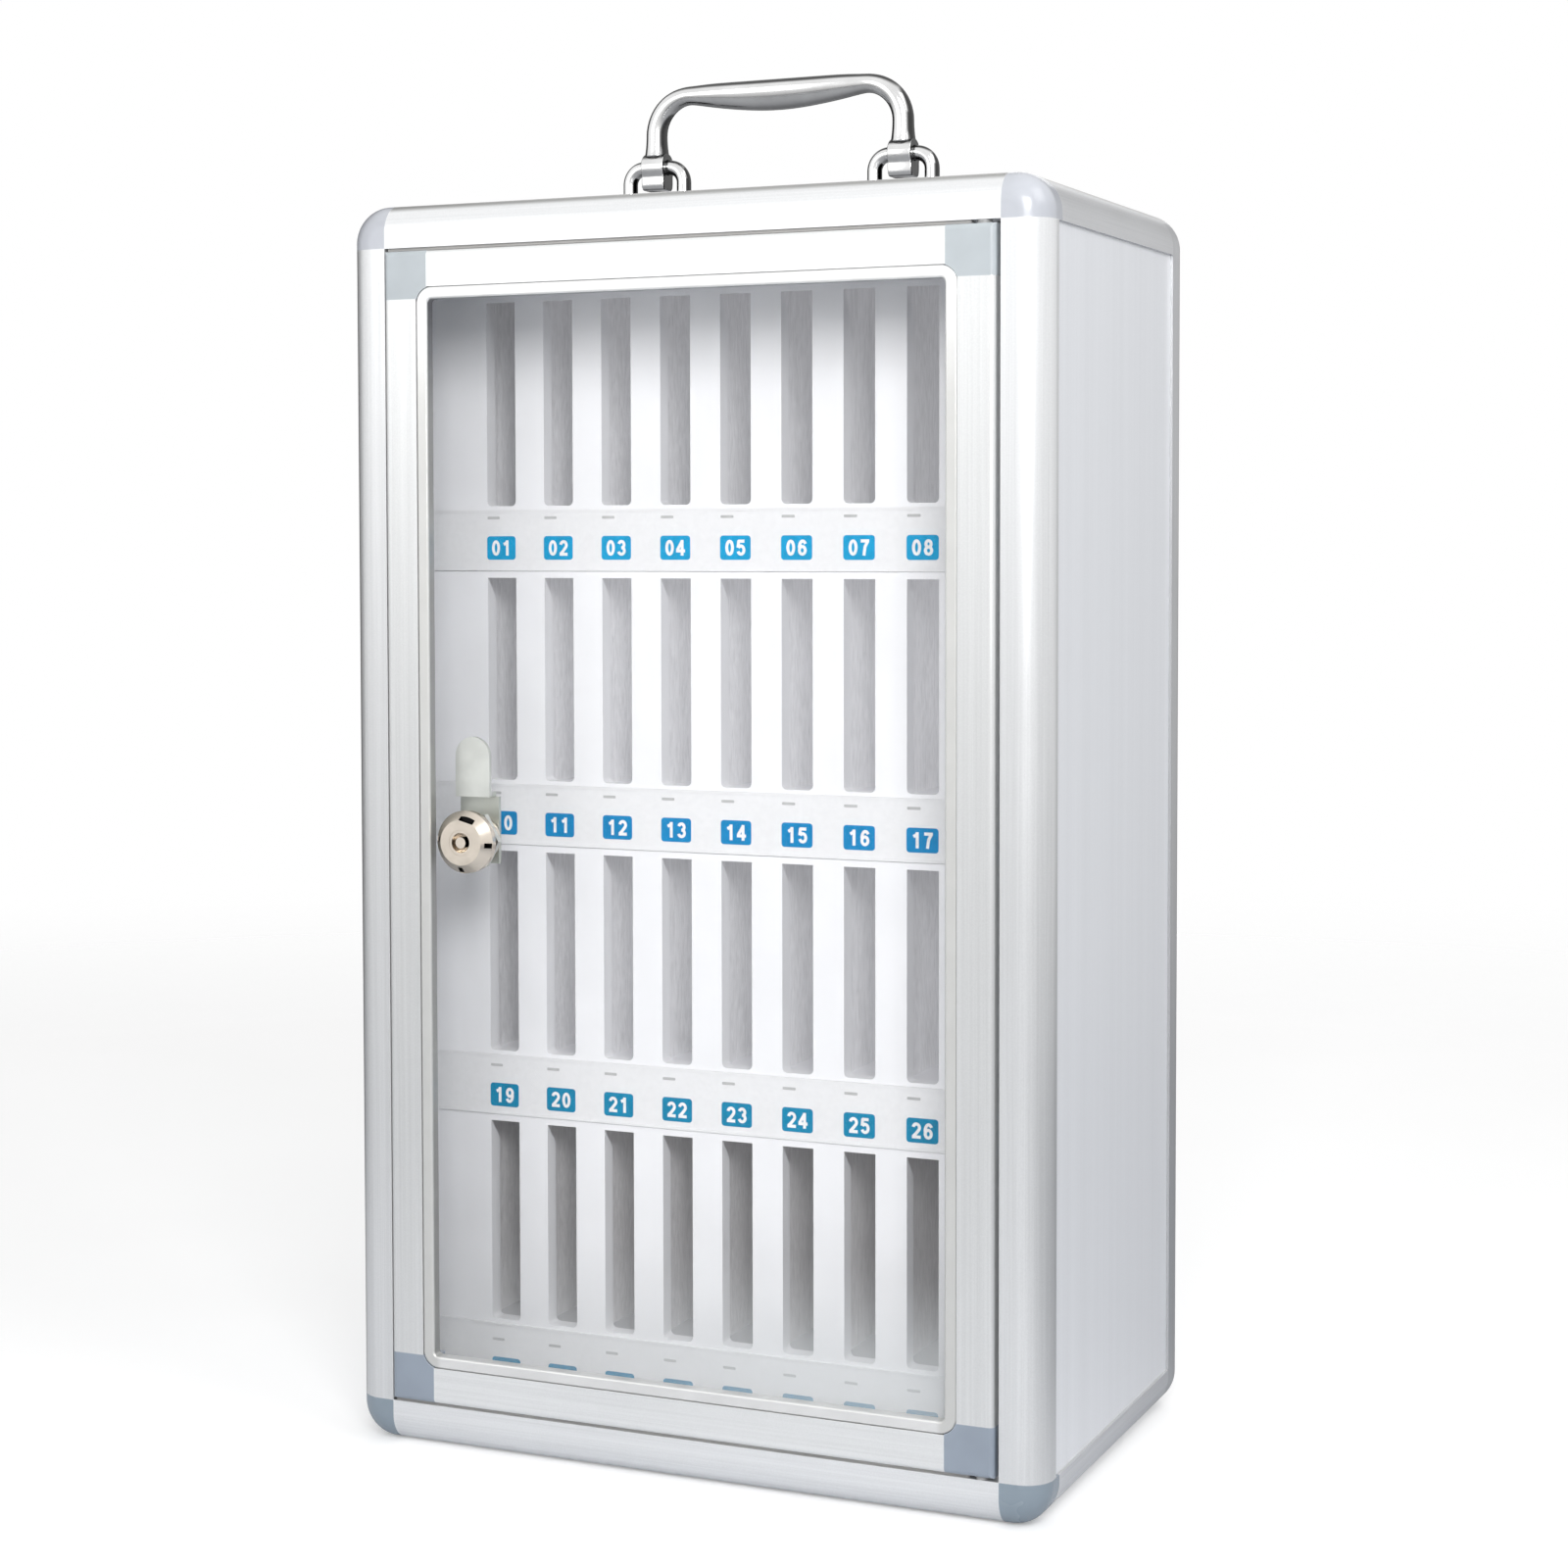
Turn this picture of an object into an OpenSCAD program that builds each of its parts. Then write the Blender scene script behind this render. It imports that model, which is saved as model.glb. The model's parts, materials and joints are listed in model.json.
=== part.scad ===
// Phone cabinet: an aluminium framed box with a framed clear door,
// four rows of nine numbered upright slots, a cam lock and a folding handle.
// Millimetres, Z up, the door looks along -Y.
// The frame origin is the middle of the underside.

/* [Cabinet] */
// Outer width of the cabinet
cab_w = 316; // [290:1:340]
// Outer depth from the front ring to the rear plane
cab_d = 204; // [180:1:240]
// Outer height without the handle
cab_h = 540; // [534:1:570]
// Face width of every frame rail
rail_w = 19; // [18:0.5:20.5]
// Rounding of the four long edges that run front to back
edge_r = 16; // [14:0.5:17]
// Rounding of the front ring between its face and its side
front_r = 12.5; // [10:0.5:13]
// Rounding of the rear ring between its face and its side
rear_r = 10; // [6:0.5:11]
// Depth of the front ring at its outer leg
ring_d = 15.5; // [15:0.5:20]
// Depth of the rear ring at its outer leg
rear_d = 20; // [16:0.5:24]
// Depth of the front ring beside the door
front_web = 10.2; // [10:0.1:10.6]
// Depth of the rear ring beside the back panel
rear_web = 10; // [9:0.5:11]
// Width of the outer leg that holds a side panel
leg_w = 5.5; // [5.4:0.1:6.5]

/* [Panels] */
// Thickness of the five outer panels
panel_t = 3; // [2:0.1:3]
// How far the panels lie below the rails
panel_in = 1.2; // [0.8:0.1:1.3]
// How deep a panel reaches into a rail
groove_deep = 4; // [3:0.5:4]
// Corner notch of the back panel, clear of the bent corners of its groove
back_notch = 0.6; // [0.5:0.1:1.5]
// Free play of a panel in its groove
groove_fit = 0.05; // [0.03:0.01:0.08]

/* [Corner caps] */
// How far a cap reaches behind the front ring along the edge rails
cap_more = 4.5; // [2:0.5:6]
// Length of the plugs that hold a cap in the rails
peg_len = 8; // [4:1:20]
// Free play of a plug on each side
peg_fit = 0.15; // [0.1:0.01:0.3]

/* [Door] */
// Gap between the door and the ring at the hinge, above and below
door_gap = 1.5; // [1.4:0.1:2]
// Gap between the door and the ring on the lock side
lock_gap = 0.9; // [0.7:0.1:1.5]
// Thickness of the door frame
door_t = 10; // [9.6:0.1:10.2]
// How far the door face stands in front of the ring
door_proud = 2.3; // [2.1:0.1:2.4]
// Width of the flat face of the door frame
door_flat = 15.6; // [15:0.1:18]
// Rounding of the outer door edges
door_edge_r = 2.2; // [2.2:0.1:3]
// Width of the bead that holds the pane
bead_w = 5.1; // [4.4:0.1:5.6]
// Rounding of the bead towards the pane
bead_nose = 1; // [0.6:0.1:2]
// Rounding of the bead towards the door frame
bead_edge = 0.8; // [0.3:0.1:1]
// Rounding of the window corners inside the bead
bead_turn = 2; // [1:0.1:2.4]
// Gap between bead and door frame
bead_gap = 0.1; // [0.05:0.05:0.3]
// How far the top of the bead lies below the door face
bead_drop = 0.15; // [0.05:0.05:0.5]
// Depth of the pane behind the door face
pane_deep = 5.4; // [5:0.1:5.5]
// Thickness of the clear pane
pane_t = 2.5; // [2:0.1:2.8]
// How deep the pane reaches into the door frame
pane_bite = 4.6; // [3:0.1:5]
// Gap round the pane in its groove
pane_fit = 0.05; // [0.03:0.01:0.1]

/* [Hinge] */
// Distance of the hinge axis from the right door edge
hinge_in = 6; // [5.9:0.1:6.4]
// Depth of the hinge axis behind the ring face
hinge_deep = 3; // [2.9:0.1:3.1]
// Diameter of the two hinge pins
pin_d = 3.2; // [2.8:0.1:3.4]
// Running clearance round a hinge pin
pin_run = 0.06; // [0.03:0.01:0.08]
// Length of a pin inside its door corner
pin_hold = 10; // [6:0.5:14]
// Reach of a pin into the cabinet rail
pin_reach = 3.6; // [3:0.1:3.8]
// Height of the rail wall that carries a pin
pin_wall = 4.2; // [4:0.1:5]
// Diameter of the washer on a hinge pin
washer_d = 6; // [5:0.5:6]
// Free play of a washer in the door gap
washer_fit = 0.1; // [0.05:0.01:0.2]

/* [Door stops] */
// Height of one door stop
stop_h = 16; // [8:1:30]
// Thickness of a door stop
stop_t = 2.4; // [1.5:0.1:4]
// Reach of a stop behind the door frame
stop_reach = 6; // [3:0.5:10]
// Gap between the closed door and its stops
stop_gap = 0.2; // [0.1:0.05:0.4]
// Height of the lower stop above the underside
stop_z = 80; // [40:1:200]

/* [Slots] */
// Number of slots in a row
cols = 9; // [7:1:9]
// Number of rows
rows = 4; // [4:1:4]
// Distance between slot middles
col_pitch = 28.5; // [26:0.1:29]
// Height of the lowest slot bottom
slot_z = 43; // [42:0.5:46]
// Distance of the upper end of the rows below the cabinet top
row_top = 7; // [6:0.5:10]
// Height of the band between the slots of two rows
row_band = 32; // [30:0.1:42]
// Width of a slot opening
slot_w = 14.3; // [12:0.1:15]
// Rounding at the bottom of a slot
slot_r = 2.2; // [1:0.1:4]
// Distance of the slot panels behind the ring face
slot_y = 59; // [50:0.5:70]
// Thickness of a slot panel
slot_t = 1.5; // [1:0.1:2]
// Depth of the lips round a slot
lip_d = 8; // [4:0.5:12]
// Wall of the lips
lip_t = 1.2; // [0.8:0.1:1.4]
// Length of the slope at the top of the lips
lip_taper = 9; // [4:0.5:14]
// Margin of a slot panel under its slots
slot_under = 1.8; // [1.6:0.1:2.4]
// Margin of a slot panel over its slots
slot_over = 2.9; // [2:0.1:2.9]

/* [Label strips] */
// Gap between a label strip and the slot panel below it
strip_fit = 0.25; // [0.1:0.05:1]
// Thickness of a label strip
strip_t = 1.9; // [1.5:0.1:2.5]
// How far a strip stands in front of the slot panels
strip_proud = 0.4; // [0.2:0.1:1]
// Height of the rim along a strip
rim_h = 1; // [0.6:0.1:2]
// How far the rim stands in front of the strip
rim_proud = 0.35; // [0.2:0.05:0.6]

/* [Inner box] */
// Gap between the inner box and the outer leg
box_side = 0.1; // [0.05:0.05:0.4]
// Gap between the inner box and the long rails
box_fit = 0.2; // [0.1:0.05:0.5]
// Thickness of the side walls of the inner box
wall_t = 2.2; // [1.5:0.1:4]
// Thickness of the shelves
shelf_t = 2.5; // [2:0.1:4]
// Distance of a shelf below its slot bottoms
shelf_drop = 1.6; // [1.5:0.1:2]
// Thickness of the dividers
divider_t = 3; // [2:0.1:5]
// Thickness of the inner back
inner_back_t = 2; // [1.5:0.1:4]
// Gap between the inner back and the rear ring
back_fit = 0.5; // [0.1:0.1:2]

/* [Lock] */
// Distance of the lock axis from the left side
lock_x = 56.5; // [55.5:0.5:60]
// Height of the lock axis
lock_z = 266; // [200:0.5:320]
// Diameter of the lock head
lock_head_d = 27; // [25:0.5:28]
// Diameter of the flat lock face
lock_face_d = 19.5; // [18.5:0.5:21]
// Depth of the bevel on the lock head
lock_bevel = 4.2; // [3:0.1:4.6]
// How far the lock face stands in front of the ring
lock_proud = 4; // [3.6:0.1:4.6]
// Diameter of the lock barrel
barrel_d = 19; // [18:0.5:20]
// Depth of the barrel end behind the ring face
barrel_end = 15; // [14.5:0.5:17]
// Diameter of the turning plug
plug_d = 11; // [10:0.5:13]
// Running clearance round the plug
plug_run = 0.06; // [0.03:0.01:0.09]
// Outer diameter of the ring keyway
key_d = 8.6; // [7:0.1:9]
// Diameter of the post inside the keyway
key_post_d = 4.8; // [4:0.1:6]
// Depth of the keyway
key_deep = 8; // [4:0.5:9]
// Width across the flats of the lock nut
lock_nut_w = 23; // [22:0.5:24]
// Thickness of the lock nut
lock_nut_t = 3.2; // [2:0.1:4]
// Width of the notches in the lock rim
notch_w = 2.2; // [1:0.1:3]
// Length of the recess across the upper rim
recess_len = 7; // [4:0.5:8]
// Width of the recess across the upper rim
recess_w = 2.4; // [1.5:0.1:3]
// Gap between the barrel and the cam
cam_gap = 0.6; // [0.3:0.1:1]

/* [Cam] */
// Thickness of the cam plate
cam_t = 2; // [1.5:0.1:2.2]
// Width of the cam tongue
cam_w = 16.5; // [14:0.5:18]
// Reach of the tongue from the lock axis
cam_reach = 44.5; // [42:0.5:45.5]
// Depth of the tongue behind the ring face
cam_y = 11.2; // [11:0.1:11.8]
// How far the tongue stands beside the lock axis
cam_off = 2.2; // [0:0.1:3]
// Distance of the crank step from the lock axis
cam_step = 18.5; // [15:0.5:20]
// Side of the square on the plug end
square_w = 6.5; // [5:0.5:7]
// Free play of the cam on its square
square_fit = 0.05; // [0.03:0.01:0.2]
// Diameter of the cam nut
cam_nut_d = 10; // [8:0.5:12]
// Thickness of the cam nut
cam_nut_t = 3; // [2:0.5:4]

/* [Handle] */
// How far the handle stands behind the middle of the depth
hand_back = 5; // [0:0.5:8]
// Distance between the two saddles
saddle_pitch = 118; // [100:1:130]
// Outer span of one saddle
saddle_w = 33; // [31:0.5:38]
// Diameter of the saddle rod
saddle_d = 6.5; // [6:0.1:6.8]
// Bend radius of the saddle rod
saddle_bend = 7; // [5:0.5:7]
// Height of the handle axis above the cabinet
axis_up = 22.6; // [21.5:0.1:24]
// Height of the grip top above the cabinet
grip_up = 58.8; // [57.5:0.1:61]
// Diameter of the handle rod at legs and bends
bail_d = 9.5; // [8:0.1:10]
// Bend radius of the handle corners
bail_bend = 17; // [14:0.5:18]
// Diameter of the grip in its middle
grip_d = 14; // [12.5:0.1:14.5]
// Length of the swelling under the grip
grip_len = 80; // [76:1:84]
// Width of an eye on the handle
eye_w = 11; // [9:0.5:11]
// Outer diameter of an eye on the handle
eye_d = 13; // [12:0.5:14]
// Depth of the square foot below an eye
foot_d = 10.5; // [9:0.5:11.5]
// Reach of the foot below the handle axis
foot_drop = 10.2; // [8:0.1:10.6]
// Running clearance of an eye on its saddle
eye_run = 0.06; // [0.03:0.01:0.09]
// Diameter of the threaded ends of a saddle
stud_d = 5; // [4:0.5:5.5]
// Length of the threaded ends below the top panel
stud_len = 5; // [4.5:0.5:8]
// Free play of a stud in the top panel
stud_fit = 0.15; // [0.1:0.05:0.4]
// Width across the flats of a saddle nut
nut_w = 8; // [7:0.5:9]
// Thickness of a saddle nut
nut_t = 3; // [2:0.5:4]
// Free play of a nut on its thread
nut_fit = 0.05; // [0.03:0.01:0.1]

/* [View] */
// Piece to show, or all

/* [Hidden] */
$fn = 48;

eps = 0.01;
over = 1;
// middle of the whole depth, lock face to rear plane
mid_y = (cab_d - max(lock_proud, door_proud)) / 2;
// hollow of the ring rails
wall_f = 2.5;
hollow_u = 8;
hollow_in = rail_w - pin_wall;
// hollow of the long edge rails
edge_hollow = 6.5;
edge_wall = 2;
// door opening
door_x = rail_w + lock_gap;
door_z = rail_w + door_gap;
door_r = cab_w - rail_w - door_gap;
door_w = door_r - door_x;
door_top = cab_h - door_z;
block = door_flat + bead_gap + bead_w;
hinge_x = door_r - hinge_in;
door_hollow = [2.5, 9.2];
door_hollow_v = [2.4, 7.8];
// inner box
box_x = leg_w + box_side;
box_r = cab_w - box_x;
box_z = rail_w + box_fit;
box_top = cab_h - rail_w - box_fit;
box_back_y = cab_d - rear_web - back_fit - inner_back_t;
box_front_y = slot_y + slot_t;
// handle
hand_y = cab_d / 2 + hand_back;
axis_z = cab_h + axis_up;
grip_z = cab_h + grip_up;
leg_half = (saddle_w - saddle_d) / 2;
panel_top = cab_h - panel_in;
// lock
pane_front = pane_deep - door_proud;
pane_back = pane_front + pane_t;
cam_hub_y = barrel_end + cam_gap;

// rows of slots
row_pitch = (cab_h - slot_z - row_top) / rows;
slot_h = row_pitch - row_band;
strip_h = row_band - slot_under - slot_over - groove_fit - strip_fit;

function slot_bottom(row) = slot_z + (rows - row) * row_pitch;
function slot_mid(col) = cab_w / 2 + (col - (cols + 1) / 2) * col_pitch;
function shelf_top(row) = slot_bottom(row) - shelf_drop;
function ceiling(row) = row == 1 ? box_top - shelf_t
  : shelf_top(row - 1) - shelf_t;

// moves the corner based drawing to the shared origin
module place() { translate([-cab_w / 2, -mid_y, 0]) children(); }
module at_right() { translate([cab_w, 0, 0]) mirror([1, 0, 0]) children(); }
module at_bottom() { translate([0, 0, cab_h]) mirror([0, 0, 1]) children(); }
module at_hinge() {
  translate([door_x + door_r, 0, 0]) mirror([1, 0, 0]) children();
}

// what a rounding takes away at the corner of a section
module corner_cut(r) {
  difference() {
    translate([-over, -over]) square(r + over);
    translate([r, r]) circle(r = r);
  }
}

// section of a front ring rail: first from the outer side, then from the front
module front_section(flush) {
  difference() {
    union() {
      square([rail_w, front_web]);
      square([leg_w, ring_d]);
    }
    corner_cut(front_r);
    translate([hollow_u, wall_f])
      square([hollow_in - hollow_u, front_web - wall_f - edge_wall]);
    panel_cut(ring_d, flush);
  }
}

// groove of a recessed panel, or the rebate of a flush one
module panel_cut(depth, flush) {
  low = flush ? -over : panel_in - groove_fit;
  high = (flush ? panel_t : panel_in + panel_t) + groove_fit;
  translate([low, depth - groove_deep])
    square([high - low, groove_deep + over]);
}

// section of a rear ring rail, measured from the rear plane
module rear_section(flush) {
  difference() {
    union() {
      square([rail_w, rear_web]);
      square([leg_w, rear_d]);
    }
    corner_cut(rear_r);
    translate([hollow_u, wall_f])
      square([hollow_in - hollow_u - edge_wall, rear_web - wall_f - edge_wall]);
    panel_cut(rear_d, flush);
    translate([rail_w - groove_deep, panel_in - groove_fit])
      square([groove_deep + over, panel_t + 2 * groove_fit]);
  }
}

// section of a long edge rail: first from the side, then from the top
module edge_section(flush) {
  difference() {
    square(rail_w);
    corner_cut(edge_r);
    translate([edge_hollow, edge_hollow])
      square(rail_w - edge_hollow - edge_wall);
    translate([panel_in - groove_fit, rail_w - groove_deep])
      square([panel_t + 2 * groove_fit, groove_deep + over]);
    low = flush ? -over : panel_in - groove_fit;
    high = (flush ? panel_t : panel_in + panel_t) + groove_fit;
    translate([rail_w - groove_deep, low])
      square([groove_deep + over, high - low]);
  }
}

// lays a section along X under the top of the cabinet
module along_x(from, len) {
  translate([from, 0, cab_h]) rotate([0, 90, 0]) linear_extrude(len) children();
}

module front_rail(flush) {
  difference() {
    along_x(rail_w, cab_w - 2 * rail_w) front_section(flush);
    translate([hinge_x, hinge_deep, cab_h - rail_w - over])
      cylinder(d = pin_d + 2 * pin_run, h = pin_wall + over + eps);
  }
}
module front_stile() {
  translate([0, 0, rail_w]) linear_extrude(cab_h - 2 * rail_w)
    front_section(false);
}
module front_top_rail() color("#d9dadb") place() front_rail(false);
module front_bottom_rail() color("#d3d5d7") place()
  at_bottom() front_rail(true);
module front_left_stile() color("#d9dadb") place() front_stile();
module front_right_stile() color("#dddedf") place() at_right() front_stile();

// solid corner piece at the top left of the front ring
module cap_section() {
  difference() {
    square([rail_w, ring_d]);
    corner_cut(front_r);
  }
}
module cap_body() {
  translate([edge_r, 0, cab_h - edge_r]) rotate([-90, 0, 0])
    rotate([0, 0, 180]) rotate_extrude(angle = 90) difference() {
      square([edge_r, ring_d]);
      translate([edge_r, 0]) mirror([1, 0]) corner_cut(front_r);
    }
  along_x(edge_r, rail_w - edge_r) cap_section();
  translate([0, 0, cab_h - rail_w]) linear_extrude(rail_w - edge_r)
    cap_section();
}
// plug inside the hollow of a ring rail
module ring_peg() {
  translate([hollow_u + peg_fit, wall_f + peg_fit, -eps])
    linear_extrude(peg_len)
      square([hollow_in - hollow_u, front_web - wall_f - edge_wall]
        - 2 * peg_fit * [1, 1]);
}
module corner_cap(flush) {
  hollow = rail_w - edge_hollow - edge_wall;
  side = hollow - 2 * peg_fit;
  cap_body();
  translate([0, ring_d - eps, cab_h]) rotate([-90, 0, 0])
    linear_extrude(cap_more + eps) {
      edge_section(flush);
      translate([edge_hollow, edge_hollow]) square(hollow);
    }
  translate([rail_w, 0, cab_h]) rotate([0, 90, 0]) ring_peg();
  translate([0, 0, cab_h - rail_w]) mirror([0, 0, 1]) ring_peg();
  translate([edge_hollow + peg_fit, ring_d + cap_more - eps,
      cab_h - edge_hollow - peg_fit - side]) cube([side, peg_len, side]);
}
module cap_top_left() color("#c3cbd1") place() corner_cap(false);
module cap_top_right() color("#c3cbd1") place() at_right() corner_cap(false);
module cap_bottom_left() color("#a9b5c0") place()
  at_bottom() corner_cap(true);
module cap_bottom_right() color("#a9b5c0") place()
  at_bottom() at_right() corner_cap(true);

// long rounded rail from the front cap to the rear ring
module edge_rail(flush) {
  translate([0, ring_d + cap_more, cab_h]) rotate([-90, 0, 0])
    linear_extrude(cab_d - ring_d - cap_more - rear_d) edge_section(flush);
}
module edge_top_left() color("#bfc0c0") place() edge_rail(false);
module edge_top_right() color("#bfc0c0") place() at_right() edge_rail(false);
module edge_bottom_left() color("#bfc0c0") place()
  at_bottom() edge_rail(true);
module edge_bottom_right() color("#bfc0c0") place()
  at_bottom() at_right() edge_rail(true);

// part of a rear rail that goes round the corner
module rear_bend() {
  translate([edge_r, cab_d, -edge_r]) rotate([90, 0, 0])
    rotate([0, 0, 90]) rotate_extrude(angle = 90) intersection() {
      translate([edge_r, 0]) mirror([1, 0]) rear_section(false);
      square([edge_r, rear_d]);
    }
}
// rear rail along X with both ends mitred, its outer side at height 0
module rear_bar(len, flush) {
  mitre = rail_w + over;
  intersection() {
    union() {
      translate([edge_r, cab_d, 0]) rotate([0, 90, 0]) mirror([0, 1, 0])
        linear_extrude(len - 2 * edge_r) rear_section(flush);
      rear_bend();
      translate([len, 0, 0]) mirror([1, 0, 0]) rear_bend();
    }
    translate([0, cab_d + over, 0]) rotate([90, 0, 0])
      linear_extrude(rear_d + 2 * over)
        polygon([[0, 0], [len, 0], [len - mitre, -mitre], [mitre, -mitre]]);
  }
}
module rear_stile() { rotate([0, -90, 0]) rear_bar(cab_h, false); }
module rear_top_rail() color("#cfd0d1") place()
  translate([0, 0, cab_h]) rear_bar(cab_w, false);
module rear_bottom_rail() color("#cfd0d1") place()
  mirror([0, 0, 1]) rear_bar(cab_w, true);
module rear_left_stile() color("#cfd0d1") place() rear_stile();
module rear_right_stile() color("#cfd0d1") place() at_right() rear_stile();

// rectangle from low to high with its four corners notched
module notched(low, high, notch) {
  difference() {
    translate(low) square(high - low);
    for (x = [low[0], high[0]]) for (y = [low[1], high[1]])
      translate([x, y]) square(2 * notch, center = true);
  }
}
groove_in = groove_deep - 2 * groove_fit;
panel_z = [rail_w - groove_in, cab_h - rail_w + groove_in];
panel_x = [rail_w - groove_in, cab_w - rail_w + groove_in];
panel_y = [ring_d - groove_in, cab_d - rear_d + groove_in];
module side_panel() {
  translate([panel_in + panel_t, 0, 0]) rotate([0, -90, 0])
    linear_extrude(panel_t) notched([panel_z[0], panel_y[0]],
      [panel_z[1], panel_y[1]], groove_deep);
}
module flat_panel(z) {
  translate([0, 0, z]) linear_extrude(panel_t)
    notched([panel_x[0], panel_y[0]], [panel_x[1], panel_y[1]], groove_deep);
}
module left_panel() color("#e4e6e8") place() side_panel();
module right_panel() color("#e4e6e8") place() at_right() side_panel();
module top_panel() color("#e4e6e8") place() difference() {
  flat_panel(panel_top - panel_t);
  for (s = [-1, 1]) for (t = [-1, 1])
    translate([cab_w / 2 + s * saddle_pitch / 2 + t * leg_half, hand_y,
        panel_top - panel_t - over])
      cylinder(d = stud_d + 2 * stud_fit, h = panel_t + 2 * over);
}
module bottom_panel() color("#cfd2d5") place() flat_panel(0);
module back_panel() color("#dfe1e3") place()
  translate([0, cab_d - panel_in, 0]) rotate([90, 0, 0])
    linear_extrude(panel_t) notched([panel_x[0], panel_z[0]],
      [panel_x[1], panel_z[1]], back_notch);

// inner box that carries the rows
module box_wall() {
  translate([box_x, box_front_y, box_z])
    cube([wall_t, box_back_y - box_front_y, box_top - box_z]);
}
module box_left_wall() color("#f1f2f3") place() box_wall();
module box_right_wall() color("#f1f2f3") place() at_right() box_wall();
module box_back() color("#b9bcbf") place()
  translate([box_x, box_back_y, box_z])
    cube([box_r - box_x, inner_back_t, box_top - box_z]);
module shelf(top) {
  translate([box_x + wall_t, box_front_y, top - shelf_t])
    cube([box_r - box_x - 2 * wall_t, box_back_y - box_front_y, shelf_t]);
}
module shelves() color("#eceded") place() {
  for (row = [1:rows]) shelf(shelf_top(row));
  shelf(box_top);
}
module divider_row(row) {
  for (i = [0:cols]) translate([slot_mid(i + 0.5) - divider_t / 2,
      box_front_y, shelf_top(row)])
    cube([divider_t, box_back_y - box_front_y,
      ceiling(row) - shelf_top(row)]);
}
module dividers_1() color("#b4b7ba") place() divider_row(1);
module dividers_2() color("#b4b7ba") place() divider_row(2);
module dividers_3() color("#b4b7ba") place() divider_row(3);
module dividers_4() color("#b4b7ba") place() divider_row(4);

// outline of a slot with round lower corners, its bottom middle at the origin
module slot_shape(w, h, r) {
  translate([-w / 2, r]) square([w, h - r]);
  translate([-w / 2 + r, 0]) square([w - 2 * r, r + eps]);
  for (s = [-1, 1]) translate([s * (w / 2 - r), r]) circle(r = r);
}
// lip round one slot, open and sloped at its top
module slot_lip() {
  difference() {
    rotate([90, 0, 0]) mirror([0, 0, 1]) linear_extrude(lip_d) difference() {
      translate([0, -lip_t])
        slot_shape(slot_w + 2 * lip_t, slot_h + lip_t, slot_r + lip_t);
      slot_shape(slot_w, slot_h + over, slot_r);
    }
    translate([-slot_w, 0, 0]) rotate([90, 0, 90])
      linear_extrude(2 * slot_w)
        polygon([[slot_t, slot_h + over], [slot_t, slot_h - slot_t],
          [lip_d + over, slot_h - slot_t - lip_taper],
          [lip_d + over, slot_h + over]]);
  }
}
module slot_panel(row) {
  low = slot_bottom(row) - slot_under;
  high = row == 1 ? box_top : slot_bottom(row) + slot_h + slot_over;
  translate([0, slot_y + slot_t, 0]) rotate([90, 0, 0])
    linear_extrude(slot_t) difference() {
      translate([box_x, low]) square([box_r - box_x, high - low]);
      for (i = [1:cols]) translate([slot_mid(i), slot_bottom(row)])
        slot_shape(slot_w, slot_h, slot_r);
    }
  for (i = [1:cols]) translate([slot_mid(i), slot_y, slot_bottom(row)])
    slot_lip();
}
module slot_panel_1() color("#f6f6f6") place() slot_panel(1);
module slot_panel_2() color("#f6f6f6") place() slot_panel(2);
module slot_panel_3() color("#f6f6f6") place() slot_panel(3);
module slot_panel_4() color("#f6f6f6") place() slot_panel(4);

// strip under a row that carries the slot numbers
module label_strip(row) {
  high = slot_bottom(row) - slot_under - groove_fit;
  low = max(box_z, high - strip_h);
  translate([box_x, slot_y - strip_proud, low])
    cube([box_r - box_x, strip_t, high - low]);
  for (z = [low, high - rim_h])
    translate([box_x, slot_y - strip_proud - rim_proud, z])
      cube([box_r - box_x, rim_proud + eps, rim_h]);
}
module label_strip_1() color("#eeeeef") place() label_strip(1);
module label_strip_2() color("#eeeeef") place() label_strip(2);
module label_strip_3() color("#eeeeef") place() label_strip(3);
module label_strip_4() color("#eeeeef") place() label_strip(4);

// rod bent into an arch, its straight top carries one eye of the handle
module saddle() {
  bar_half = leg_half - saddle_bend;
  translate([-bar_half, 0, axis_z]) rotate([0, 90, 0])
    cylinder(d = saddle_d, h = 2 * bar_half);
  for (s = [0, 1]) mirror([s, 0, 0]) {
    translate([bar_half, 0, axis_z - saddle_bend]) rotate([90, 0, 0])
      rotate_extrude(angle = 90) translate([saddle_bend, 0])
        circle(d = saddle_d);
    translate([leg_half, 0, panel_top])
      cylinder(d = saddle_d, h = axis_z - saddle_bend - panel_top);
    translate([leg_half, 0, panel_top - panel_t - stud_len])
      cylinder(d = stud_d, h = panel_t + stud_len + eps);
  }
}
module saddle_left() color("#c9cbcd") place()
  translate([(cab_w - saddle_pitch) / 2, hand_y, 0]) saddle();
module saddle_right() color("#c9cbcd") place()
  translate([(cab_w + saddle_pitch) / 2, hand_y, 0]) saddle();
module saddle_nuts() color("#a9a9a4") place()
  for (s = [-1, 1]) for (t = [-1, 1])
    translate([cab_w / 2 + s * saddle_pitch / 2 + t * leg_half, hand_y,
        panel_top - panel_t - nut_t]) difference() {
      cylinder(d = nut_w / cos(30), h = nut_t, $fn = 6);
      translate([0, 0, -over])
        cylinder(d = stud_d + 2 * nut_fit, h = nut_t + 2 * over);
    }

// stops behind the left stile that the closed door meets
module door_stop(z) {
  pad_x = door_x + stop_gap;
  pad_y = door_t - door_proud + stop_gap;
  translate([leg_w + stop_gap, front_web, z])
    cube([pad_x + stop_reach - leg_w - stop_gap, stop_t, stop_h]);
  translate([pad_x, pad_y, z])
    cube([stop_reach, front_web + stop_t - pad_y, stop_h]);
}
module door_stops() color("#8b9096") place() {
  door_stop(stop_z);
  door_stop(cab_h - stop_z - stop_h);
}

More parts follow.
